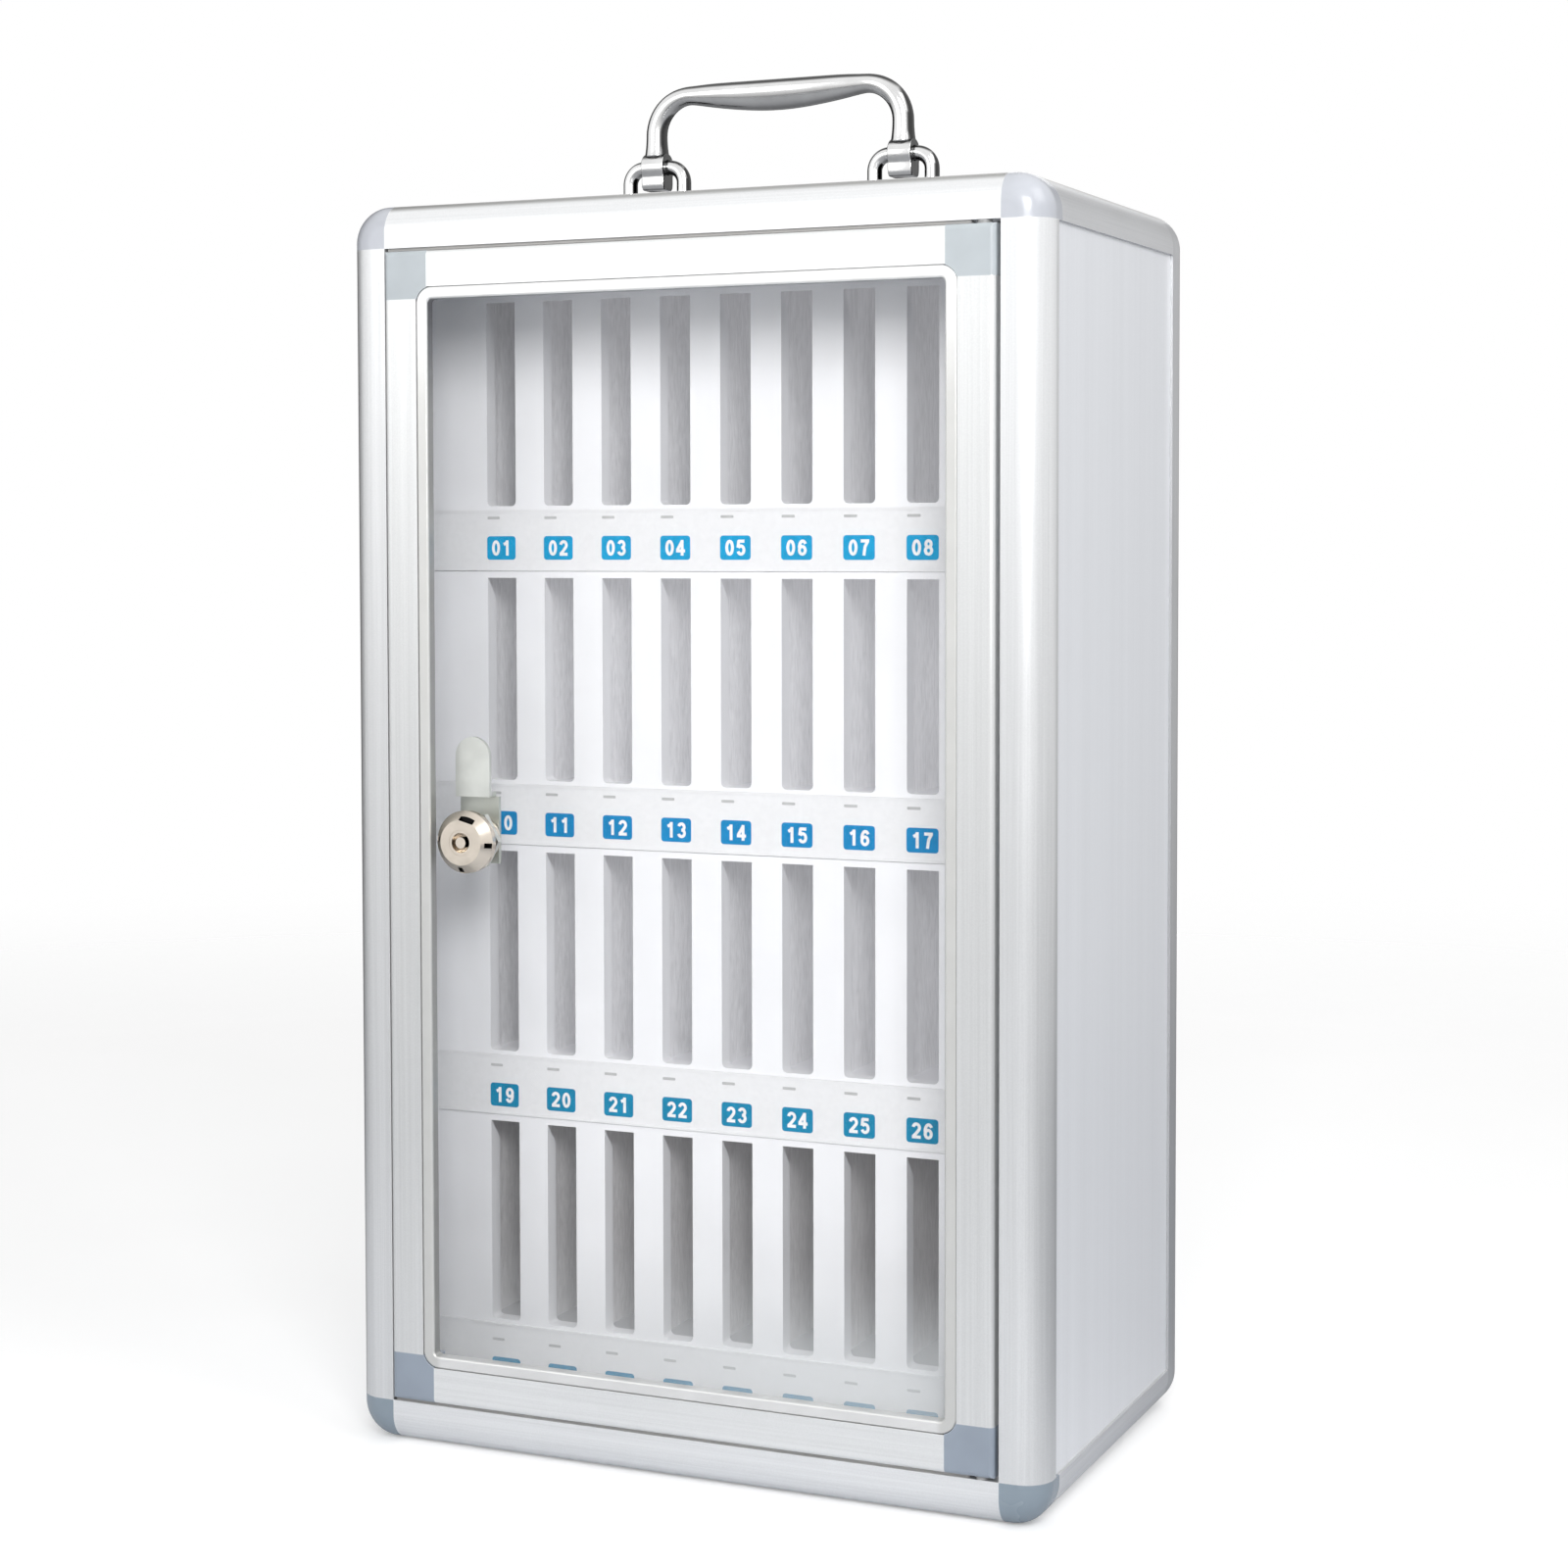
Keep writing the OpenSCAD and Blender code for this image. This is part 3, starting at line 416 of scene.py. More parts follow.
def toned(tree, value, colour_, lighter, darker, low=0.3, high=0.7):
    """The colour, from a darker to a lighter shade as a value grows."""
    return blend(tree, ramp(tree, value, low, high),
                 tuple(c * darker for c in colour_),
                 tuple(min(1.0, c * lighter) for c in colour_))


def painted_shade_along(tree, place, base, axis, low, high, level):
    """The colour with painted shade: darker beyond the low end of a stretch of an axis."""
    value = ramp(tree, parts_of(tree, place)[axis], low, high, level, 1.0)
    tint = add(tree, "ShaderNodeCombineXYZ", {0: value, 1: value, 2: value})
    return blend(tree, 1.0, base, tint.outputs[0], "MULTIPLY")


def bump(tree, sockets, height, strength, distance):
    """Bump of this height on the shader's normal."""
    node = add(tree, "ShaderNodeBump", {"Height": height,
                                        "Strength": strength,
                                        "Distance": distance})
    tree.links.new(node.outputs[0], sockets["Normal"])


# lines per metre of brushing along each axis
AXES = {"x": (9, 1100, 1100), "y": (1100, 9, 1100), "z": (1100, 1100, 9)}
# painted shade on the rails along each axis: axis, from, to and level
RAIL_SHADES = {"x": ((2, 0.05, 0.5, 0.93),), "y": (),
               "z": ((2, 0.2, 0.6, 0.82), (2, 0.17, 0.03, 0.92))}


def aluminium(name, colour_, axis):
    """Satin anodised aluminium, brushed along one axis, with rubbed edges,
    painted shade lower down and where it turns up or to the left."""
    material, tree, sockets, place, mottle = start(name, 0.36, 0.65, 18.0)
    lines = use(tree, "brushed", {"Vector": place, "Stretch": AXES[axis],
                                  "Broad": 0.4})
    wear = use(tree, "wear", {"Vector": place, "Radius": 0.7 * MM,
                              "Gain": 2.0})
    base = toned(tree, lines["Tone"], colour_, 1.04, 0.88, 0.25, 0.75)
    base = blend(tree, times(tree, wear["Mask"], 0.5), base, grey(250))
    # painted shade lower down on the rail
    for shade in RAIL_SHADES[axis]:
        base = painted_shade_along(tree, place, base, *shade)
    # painted shade where the surface turns up or to the left
    across, _, up = parts_of(tree, facing(tree))
    painted_shade_up = times(tree, ramp(tree, up, 0.72, 0.9, 0.0, 0.62),
                     ramp(tree, up, 0.987, 0.999, 1.0, 0.25))
    turned = times(tree, ramp(tree, across, -0.62, -0.85, 0.0, 0.8),
                   ramp(tree, across, -0.9, -0.985, 1.0, 0.12))
    base = blend(tree, calc(tree, "MAXIMUM", painted_shade_up, turned), base,
                 tone(120, 118, 112))
    uneven = times(tree, calc(tree, "SUBTRACT", mottle["Tone"], 0.5), 0.12)
    rough = calc(tree, "ADD", uneven,
                 ramp(tree, lines["Tone"], 0.2, 0.8, 0.41, 0.31))
    fill(tree, sockets, {"Base Color": base, "Roughness": rough})
    bump(tree, sockets, lines["Height"], 0.25, 0.00012)
    return material


def moulded(name, colour_, roughness=0.3, wear=0.35, scale=40.0, coat=0.25,
            uneven=0.06, shade=None):
    """Moulded plastic with slight mottle and light, rubbed edges, and painted
    shade along an axis where a shade is given.
    """
    material, tree, sockets, place, mottle = start(
        name, roughness, 0.0, scale, {"Coat Roughness": 0.12})
    rubbed = use(tree, "wear", {"Vector": place, "Radius": 0.6 * MM,
                                "Gain": 4.0})
    base = toned(tree, mottle["Tone"], colour_, 1 + uneven * 0.7,
                 1 - uneven)
    base = blend(tree, times(tree, rubbed["Mask"], wear), base, grey(246))
    # painted shade along an axis
    if shade:
        base = painted_shade_along(tree, place, base, *shade)
    fill(tree, sockets, {
        "Base Color": base,
        "Roughness": calc(tree, "MULTIPLY_ADD", mottle["Tone"], 0.16,
                          roughness - 0.08),
        "Coat Weight": calc(tree, "MULTIPLY_ADD", mottle["Tone"], 0.2,
                            coat - 0.1)})
    bump(tree, sockets, mottle["Fine"], 0.12, 0.0001)
    return material


def sheet_panel(name, colour_, axis):
    """Coated composite sheet with a fine grain along one axis."""
    material, tree, sockets, place, mottle = start(name, 0.36, 0.0, 14.0)
    lines = use(tree, "brushed", {
        "Vector": place, "Stretch": tuple(v * 0.55 for v in AXES[axis]),
        "Broad": 0.55})
    base = toned(tree, lines["Tone"], colour_, 1.02, 0.96)
    base = blend(tree, times(tree, mottle["Tone"], 0.04), base, grey(205))
    fill(tree, sockets, {
        "Base Color": base,
        "Roughness": ramp(tree, lines["Tone"], 0.25, 0.75, 0.42, 0.30)})
    bump(tree, sockets, lines["Height"], 0.2, 0.0001)
    return material


def lining(name, colour_, painted_glow):
    """Lined board with short upright fibres and a painted glow that
    brightens the slots, weaker at the left."""
    material, tree, sockets, place, mottle = start(name, 0.75, 0.0, 30.0)
    fibres = use(tree, "brushed", {"Vector": place,
                                   "Stretch": (620, 620, 150),
                                   "Broad": 0.3})
    base = toned(tree, fibres["Tone"], colour_, 1.08, 0.84)
    fill(tree, sockets, {
        "Base Color": base,
        "Roughness": ramp(tree, mottle["Tone"], 0.3, 0.7, 0.65, 0.85),
        # painted glow of the lining's colour, weaker at the left
        "Emission Color": painted_shade_along(tree, place, base, 0, -0.14, -0.07, 0.3),
        "Emission Strength": painted_glow})
    bump(tree, sockets, fibres["Height"], 0.35, 0.0002)
    return material


def shaded_bead(name, colour_, low, high):
    """Smooth aluminium with painted shade on its walls behind the front, lower
    down and on its two upright members. Low and high are its box."""
    material, tree, sockets, place, mottle = start(name, 0.36, 0.6, 60.0)
    x, y, z = parts_of(tree, place)
    base = toned(tree, mottle["Tone"], colour_, 1.02, 0.95)
    # painted shade on the walls behind the front
    up = parts_of(tree, facing(tree))[2]
    painted_wall_shade = times(tree, ramp(tree, up, 0.3, 0.7, 1.0, 0.0),
                  ramp(tree, y, low.y + 0.4 * MM, low.y + 1.5 * MM))
    base = blend(tree, painted_wall_shade, base, tone(128, 129, 132))
    # painted shade lower down
    base = painted_shade_along(tree, place, base, 2, 0.1, 0.55, 0.88)
    # painted shade on the two upright members
    aside = calc(tree, "ABSOLUTE", calc(tree, "SUBTRACT", x,
                                        (low.x + high.x) / 2))
    reach = (high.x - low.x) / 2
    upright = times(tree, ramp(tree, aside, reach - 9 * MM, reach - 6 * MM),
                    ramp(tree, z, high.z - 9 * MM, high.z - 60 * MM))
    base = blend(tree, times(tree, upright, 0.55), base,
                 tone(186, 186, 182))
    fill(tree, sockets, {
        "Base Color": base,
        "Roughness": ramp(tree, mottle["Fine"], 0.3, 0.7, 0.32, 0.4)})
    bump(tree, sockets, mottle["Fine"], 0.04, 0.0001)
    return material


def plated(name, colour_, roughness, centre=None, shade_in_hollows=None):
    """Plated metal: turned rings round a centre, or polished with painted dark
    reflections on its flanks. The last argument gives a mask and the colour
    of painted shade in recesses and on what lies deeper."""
    material, tree, sockets, place, mottle = start(name, roughness, 1.0,
                                                   90.0)
    base = toned(tree, mottle["Tone"], colour_, 1.03, 0.9)
    # painted shade in recesses and on what lies deeper
    if shade_in_hollows:
        mask, shade = shade_in_hollows
        base = blend(tree, mask(tree, place), base, shade)
    if centre is None:
        # painted dark reflections on the flanks, top and underside
        base = blend(tree, use(tree, "flanks", {})["Mask"], base,
                     tuple(c * 0.07 for c in colour_))
        bump(tree, sockets, mottle["Fine"], 0.02, 0.00003)
    else:
        centred = add(tree, "ShaderNodeMapping",
                      {"Vector": place, "Location": [-c for c in centre]})
        rings = use(tree, "turned", {"Vector": centred.outputs[0],
                                     "Rings": 14000.0})
        bump(tree, sockets, rings["Height"], 0.18, 0.00005)
    fill(tree, sockets, {
        "Base Color": base,
        "Roughness": calc(tree, "MULTIPLY_ADD", mottle["Tone"],
                          roughness * 0.7, roughness * 0.65)})
    return material


def behind(start_y, end_y):
    """Mask of what lies between two depths."""
    def mask(tree, place):
        deep = parts_of(tree, place)[1]
        return times(tree, ramp(tree, deep, start_y, start_y + 0.5 * MM),
                     calc(tree, "LESS_THAN", deep, end_y))
    return mask


def keyway(centre):
    """Mask of painted shade in the ring keyway, darkest on its right."""
    def mask(tree, place):
        ring = behind(centre.y + 0.3 * MM, centre.y + 9 * MM)(tree, place)
        return times(tree, ring, ramp(
            tree, parts_of(tree, place)[0], centre.x - 2 * MM,
            centre.x + 1.5 * MM, 0.08, 1.0))
    return mask


def notches(centre, face_r, head_r, bevel):
    """Mask of painted shade in what is cut into the bevel of the lock's head."""
    def mask(tree, place):
        flat = vector_calc(tree, "MULTIPLY", vector_calc(
            tree, "SUBTRACT", place, centre), (1, 0, 1))
        radius = measure(tree, "LENGTH", flat)
        deep = calc(tree, "SUBTRACT", parts_of(tree, place)[1], centre.y)
        slope = add(tree, "ShaderNodeMapRange",
                    {0: radius, 1: face_r, 2: head_r, 3: 0.0,
                     4: bevel}).outputs[0]
        below = calc(tree, "GREATER_THAN",
                     calc(tree, "SUBTRACT", deep, slope), 0.35 * MM)
        inside = times(tree,
                       calc(tree, "LESS_THAN", deep, bevel + 0.1 * MM),
                       calc(tree, "GREATER_THAN", radius,
                            face_r - 0.8 * MM))
        return times(tree, below, inside)
    return mask


def printed(name, colour_, lighter=1.05, darker=0.92, scale=220.0,
            shade=None):
    """Printed film with a faint grain, and painted shade along an axis where a
    shade is given.
    """
    material, tree, sockets, place, mottle = start(
        name, 0.42, 0.0, scale, {"Specular IOR Level": 0.2})
    base = toned(tree, mottle["Tone"], colour_, lighter, darker)
    # painted shade along an axis
    if shade:
        base = painted_shade_along(tree, place, base, *shade)
    fill(tree, sockets, {
        "Base Color": base,
        "Roughness": ramp(tree, mottle["Fine"], 0.3, 0.7, 0.36, 0.5)})
    bump(tree, sockets, mottle["Fine"], 0.08, 0.00005)
    return material


def clear_sheet(name, colour_, low, high):
    """Clear pane: see-through, with a faint painted whitish reflection low and
    to the right.
    """
    material, tree, sockets, place, mottle = start(name, 0.06, 0.0, 9.0)
    x, _, z = parts_of(tree, place)
    # painted whitish reflection, strongest low and to the right
    painted_reflection = times(tree, ramp(tree, z, low.z, low.z + 0.075, 1.0, 0.0),
                 calc(tree, "MULTIPLY_ADD", ramp(tree, x, low.x, high.x),
                      0.75, 0.25))
    painted_reflection = times(tree, painted_reflection, calc(tree, "MULTIPLY_ADD", mottle["Tone"],
                                  0.8, 0.6))
    alpha = calc(tree, "MULTIPLY_ADD", painted_reflection, 0.24, 0.004, clamp=True)
    edge_on = add(tree, "ShaderNodeFresnel", {"IOR": 1.3}).outputs[0]
    fill(tree, sockets, {
        "Base Color": blend(tree, mottle["Tone"],
                            tuple(c * 0.97 for c in colour_),
                            tuple(colour_)),
        "Alpha": calc(tree, "ADD", alpha, times(tree, edge_on, 0.25),
                      clamp=True),
        "Roughness": calc(tree, "MULTIPLY_ADD", mottle["Fine"], 0.03,
                          0.04)})
    return material


# ------------------------------------------------------------ mesh tools
def dress(nodes, material):
    """Gives carried-over CAD nodes a material."""
    for name in nodes:
        mesh = frame["nodes"][name].data
        mesh.materials.clear()
        mesh.materials.append(material)


def placed(name, data):
    """New object of this data in the scene."""
    obj = bpy.data.objects.new(name, data)
    bpy.context.scene.collection.objects.link(obj)
    return obj


def piece(name, mesh, material, body, smooth=True):
    """Makes a finished piece from a mesh that is already in place."""
    mesh.materials.clear()
    mesh.materials.append(material)
    mesh.polygons.foreach_set("material_index", [0] * len(mesh.polygons))
    mesh.polygons.foreach_set("use_smooth", [smooth] * len(mesh.polygons))
    obj = placed(name, mesh)
    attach(obj, body)
    return obj


def mesh_from(name, verts, faces):
    """New mesh from lists of vertices and faces."""
    mesh = bpy.data.meshes.new(name)
    mesh.from_pydata([tuple(v) for v in verts], [], faces)
    mesh.validate()
    mesh.update()
    return mesh


def loft(rings, closed_path=False):
    """Vertices and faces through rings of equal count, ends closed."""
    count = len(rings[0])
    verts = [v for ring in rings for v in ring]
    faces = []
    last = len(rings) if closed_path else len(rings) - 1
    for i in range(last):
        a, b = i * count, (i + 1) % len(rings) * count
        for j in range(count):
            k = (j + 1) % count
            faces.append((a + j, a + k, b + k, b + j))
    if not closed_path:
        faces.append(tuple(reversed(range(count))))
        faces.append(tuple(range((len(rings) - 1) * count,
                                 len(rings) * count)))
    return verts, faces


def turns(count):
    """Angles of a full turn in equal steps."""
    return [k / count * 2 * math.pi for k in range(count)]


def join(parts):
    """Joins several (verts, faces) pairs into one."""
    verts, faces = [], []
    for some_verts, some_faces in parts:
        base = len(verts)
        verts += some_verts
        faces += [tuple(base + i for i in f) for f in some_faces]
    return verts, faces


def outward(mesh):
    """Turns every closed shell's faces outwards."""
    work = bmesh.new()
    work.from_mesh(mesh)
    bmesh.ops.remove_doubles(work, verts=work.verts, dist=1e-7)
    bmesh.ops.recalc_face_normals(work, faces=work.faces)
    work.to_mesh(mesh)
    work.free()


# --------------------------------------------------------- geometry trees
def plate_tree():
    """Row of rounded plates along X that face -Y, centred on the origin."""
    tree = bpy.data.node_groups.new("Plate row", "GeometryNodeTree")
    face = tree.interface
    for label, kind, value in (
            ("Count", "Int", 9), ("Pitch", "Float", 0.0285),
            ("Width", "Float", 0.013), ("Height", "Float", 0.0105),
            ("Corner", "Float", 0.0012), ("Thickness", "Float", 0.0001),
            ("Material", "Material", None)):
        socket = face.new_socket(name=label, in_out="INPUT",
                                 socket_type="NodeSocket" + kind)
        if value is not None:
            socket.default_value = value
    face.new_socket(name="Geometry", in_out="OUTPUT",
                    socket_type="NodeSocketGeometry")
    source = tree.nodes.new("NodeGroupInput").outputs
    sink = tree.nodes.new("NodeGroupOutput").inputs

    def step(kind, inputs, **props):
        return add(tree, kind, inputs, **props).outputs[0]

    outline = step("GeometryNodeCurvePrimitiveQuadrilateral",
                   {"Width": source["Width"], "Height": source["Height"]})
    outline = step("GeometryNodeFilletCurve",
                   {"Curve": outline, "Count": 5,
                    "Radius": source["Corner"]}, mode="POLY")
    sheet = step("GeometryNodeFillCurve", {0: outline}, mode="NGONS")
    raised = step("GeometryNodeExtrudeMesh",
                  {"Mesh": sheet, "Offset Scale": source["Thickness"],
                   "Individual": False})
    under = step("GeometryNodeFlipFaces", {0: sheet})
    both = tree.nodes.new("GeometryNodeJoinGeometry")
    tree.links.new(raised, both.inputs[0])
    tree.links.new(under, both.inputs[0])
    solid = step("GeometryNodeMergeByDistance",
                 {"Geometry": both.outputs[0], "Distance": 1e-6})
    upright = step("GeometryNodeTransform",
                   {"Geometry": solid, "Rotation": (math.pi / 2, 0, 0)})
    steps = calc(tree, "SUBTRACT", source["Count"], 1.0)
    first = times(tree, times(tree, steps, source["Pitch"]), -0.5)
    line = step("GeometryNodeMeshLine", {
        "Count": source["Count"],
        "Start Location": step("ShaderNodeCombineXYZ", {0: first}),
        "Offset": step("ShaderNodeCombineXYZ", {0: source["Pitch"]})})
    row = step("GeometryNodeInstanceOnPoints",
               {"Points": line, "Instance": upright})
    real = step("GeometryNodeRealizeInstances", {0: row})
    done = step("GeometryNodeSetMaterial",
                {"Geometry": real, "Material": source["Material"]})
    tree.links.new(done, sink[0])
    return tree


def grown(name, tree, values):
    """Plain mesh that a geometry tree makes with these input values."""
    holder = placed(name, bpy.data.meshes.new(name))
    modifier = holder.modifiers.new("Tree", "NODES")
    modifier.node_group = tree
    for item in tree.interface.items_tree:
        if item.item_type == "SOCKET" and item.name in values:
            modifier[item.identifier] = values[item.name]
    bpy.context.view_layer.update()
    graph = bpy.context.evaluated_depsgraph_get()
    mesh = bpy.data.meshes.new_from_object(holder.evaluated_get(graph))
    holder.modifiers.clear()
    bpy.data.objects.remove(holder)
    if not mesh.polygons:
        raise RuntimeError(name + " came out empty")
    return mesh


# --------------------------------------------------------------- operators
class CABINET_OT_frame_finish(bpy.types.Operator):
    """Finish rails, caps and door frame"""
    bl_idname = "cabinet.frame_finish"
    bl_label = "Frame and door finish"

    def execute(self, context):
        c = context.scene.cabinet_colours
        along = {
            "x": ("top_rail", "bottom_rail"),
            "z": ("left_stile", "right_stile"),
        }
        for axis, ends in along.items():
            dress(["front_" + e for e in ends],
                  aluminium("Frame aluminium " + axis, c.frame, axis))
            # rear rails take the darker edge colour: painted shade
            dress(["rear_" + e for e in ends],
                  aluminium("Rear aluminium " + axis, c.edge, axis))
        # long rails take the darker edge colour: painted shade
        dress([n for n in frame["nodes"] if n.startswith("edge_")],
              aluminium("Edge aluminium y", c.edge, "y"))
        dress(["door_top_rail", "door_bottom_rail"],
              aluminium("Door aluminium x", c.door, "x"))
        dress(["door_left_rail", "door_right_rail"],
              aluminium("Door aluminium z", c.door, "z"))
        dress(["pane_bead"], shaded_bead("Smooth bead", c.bead,
                                         *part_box("pane_bead")))
        # the lower caps and lower corners take darker colours: painted shade
        for nodes, name, paint, roughness in (
                ("cap_top_left cap_top_right", "Upper cap plastic",
                 c.cap_top, 0.24),
                ("cap_bottom_left cap_bottom_right", "Lower cap plastic",
                 c.cap_bottom, 0.26),
                ("door_corner_tl door_corner_tr", "Upper corner plastic",
                 c.block_top, 0.38),
                ("door_corner_bl door_corner_br", "Lower corner plastic",
                 c.block_bottom, 0.38)):
            dress(nodes.split(), moulded(name, paint, roughness))
        return {"FINISHED"}


class CABINET_OT_panel_finish(bpy.types.Operator):
    """Finish the outer panels, the inside and the pane"""
    bl_idname = "cabinet.panel_finish"
    bl_label = "Panels, inside and pane"

    def execute(self, context):
        c = context.scene.cabinet_colours
        dress(["left_panel", "right_panel", "back_panel"],
              sheet_panel("Upright sheet", c.panel, "z"))
        dress(["top_panel", "bottom_panel"],
              sheet_panel("Level sheet", c.panel, "x"))
        # painted shade low on the inner boards
        dress(["box_left_wall", "box_right_wall", "shelves"],
              moulded("Inner board", c.board, 0.5, 0.1, 25.0, 0.1, 0.025,
                      FLOOR_SHADE))
        # each row's lining has a painted glow of its own strength, and the lowest row a slightly
        # darker lining as painted shade
        for nodes, name, paint, painted_glow in (
                (("box_back", "dividers_1"), "Upper lining", c.lining, 0.08),
                (("dividers_2",), "Middle lining", c.lining, 0.12),
                (("dividers_3",), "Third lining", c.lining, 0.09),
                (("dividers_4",), "Lower lining", c.lining_low, 0.03)):
            dress(nodes, lining(name, paint, painted_glow))
        # painted soft shadow at the left of the slot panels and label strips
        dress(["slot_panel_%d" % r for r in ROWS],
              moulded("Slot plastic", c.slots, 0.36, 0.3, 30.0, 0.1, 0.02,
                      LEFT_SHADE))
        dress(["label_strip_%d" % r for r in ROWS],
              printed("Strip film", c.strip, 1.01, 0.975, 500.0,
                      LEFT_SHADE))
        low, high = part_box("pane")
        dress(["pane"], clear_sheet("Clear sheet", c.pane, low, high))
        return {"FINISHED"}


class CABINET_OT_hardware_finish(bpy.types.Operator):
    """Finish lock, hinge pins, nuts, washers and stops"""
    bl_idname = "cabinet.hardware_finish"
    bl_label = "Lock and small parts"

    def execute(self, context):
        c = context.scene.cabinet_colours
        low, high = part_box("lock_housing")
        middle = Vector(((low.x + high.x) / 2, low.y, (low.z + high.z) / 2))
        # painted shade in the notches of the lock's head
        dress(["lock_housing"],
              plated("Turned nickel", c.nickel, 0.24, middle,
                     (notches(middle, LOCK_FACE / 2, (high.x - low.x) / 2,
                              LOCK_BEVEL), grey(30))))
        # painted shade in the keyway
        dress(["lock_plug"], plated("Plug nickel", c.nickel, 0.2, middle,
                                    (keyway(middle), grey(26))))
        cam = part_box("lock_cam")[0].y
        # painted shade on the cam plate behind the crank
        dress(["lock_cam"],
              plated("Cam zinc", c.zinc, 0.42, middle,
                     (behind(cam + CAM_CRANK, cam + CAM_DEEP),
                      tone(196, 199, 192))))
        dress(["lock_nut", "cam_nut", "saddle_nuts", "hinge_pins"],
              plated("Plain zinc", c.zinc, 0.36, middle))
        # painted dark reflections on the flanks of the saddles
        dress(["saddle_left", "saddle_right"],
              plated("Saddle chrome", c.chrome, 0.12))
        dress(["hinge_washers"], moulded("Washer plastic", c.washer, 0.4))
        dress(["door_stops"], moulded("Stop rubber", grey(120), 0.6, 0.1))
        return {"FINISHED"}


class CABINET_OT_number_plates(bpy.types.Operator):
    """Print the blue plates and the short dashes on the strips"""
    bl_idname = "cabinet.number_plates"
    bl_label = "Number plates"

    def execute(self, context):
        c, n = context.scene.cabinet_colours, context.scene.cabinet_numbers
        tree = plate_tree()
        low_blue = printed("Plate blue green", c.plate_low)
        blues = (printed("Plate blue", c.plate),
                 printed("Plate deep blue", c.plate_mid), low_blue, low_blue)
        pale = printed("Dash grey", c.dash)
        for row, blue in zip(ROWS, blues):
            middle = plate_middle(row, n)
            bottom = max(middle - n.height / 2,
                         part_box("label_strip_%d" % row)[0].z + 0.3 * MM)
            top = middle + n.height / 2
            left = (n.dash_width - n.width) / 2 + 0.3 * MM
            for name, material, x, z, width, height, corner in (
                    ("number_plates_%d", blue, 0, (top + bottom) / 2,
                     n.width, top - bottom, n.corner),
                    ("dashes_%d", pale, left, middle + n.dash_over,
                     n.dash_width, n.dash_height, n.dash_height * 0.3)):
                mesh = grown(name % row, tree, {
                    "Count": n.columns, "Pitch": n.pitch, "Width": width,
                    "Height": height, "Corner": corner,
                    "Thickness": n.skin, "Material": material})
                mesh.transform(Matrix.Translation(
                    (x, strip_front(row), z)))
                piece(name % row, mesh, material, "cabinet",
                      False)
        return {"FINISHED"}


def plate_middle(row, numbers):
    """Height of the middle of a row's plates."""
    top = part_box("label_strip_%d" % row)[1].z
    extra = numbers.last_drop if row == ROWS[-1] else 0.0
    return top - numbers.below - (row - 1) * numbers.drift - extra


def strip_front(row):
    """Y of the flat front of a label strip, behind its two rims."""
    mesh = frame["nodes"]["label_strip_%d" % row].data
    low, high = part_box("label_strip_%d" % row)
    inner = [v.co.y for v in mesh.vertices
             if low.y + 0.1 * MM < v.co.y < high.y - 0.5 * MM]
    return min(inner) if inner else low.y


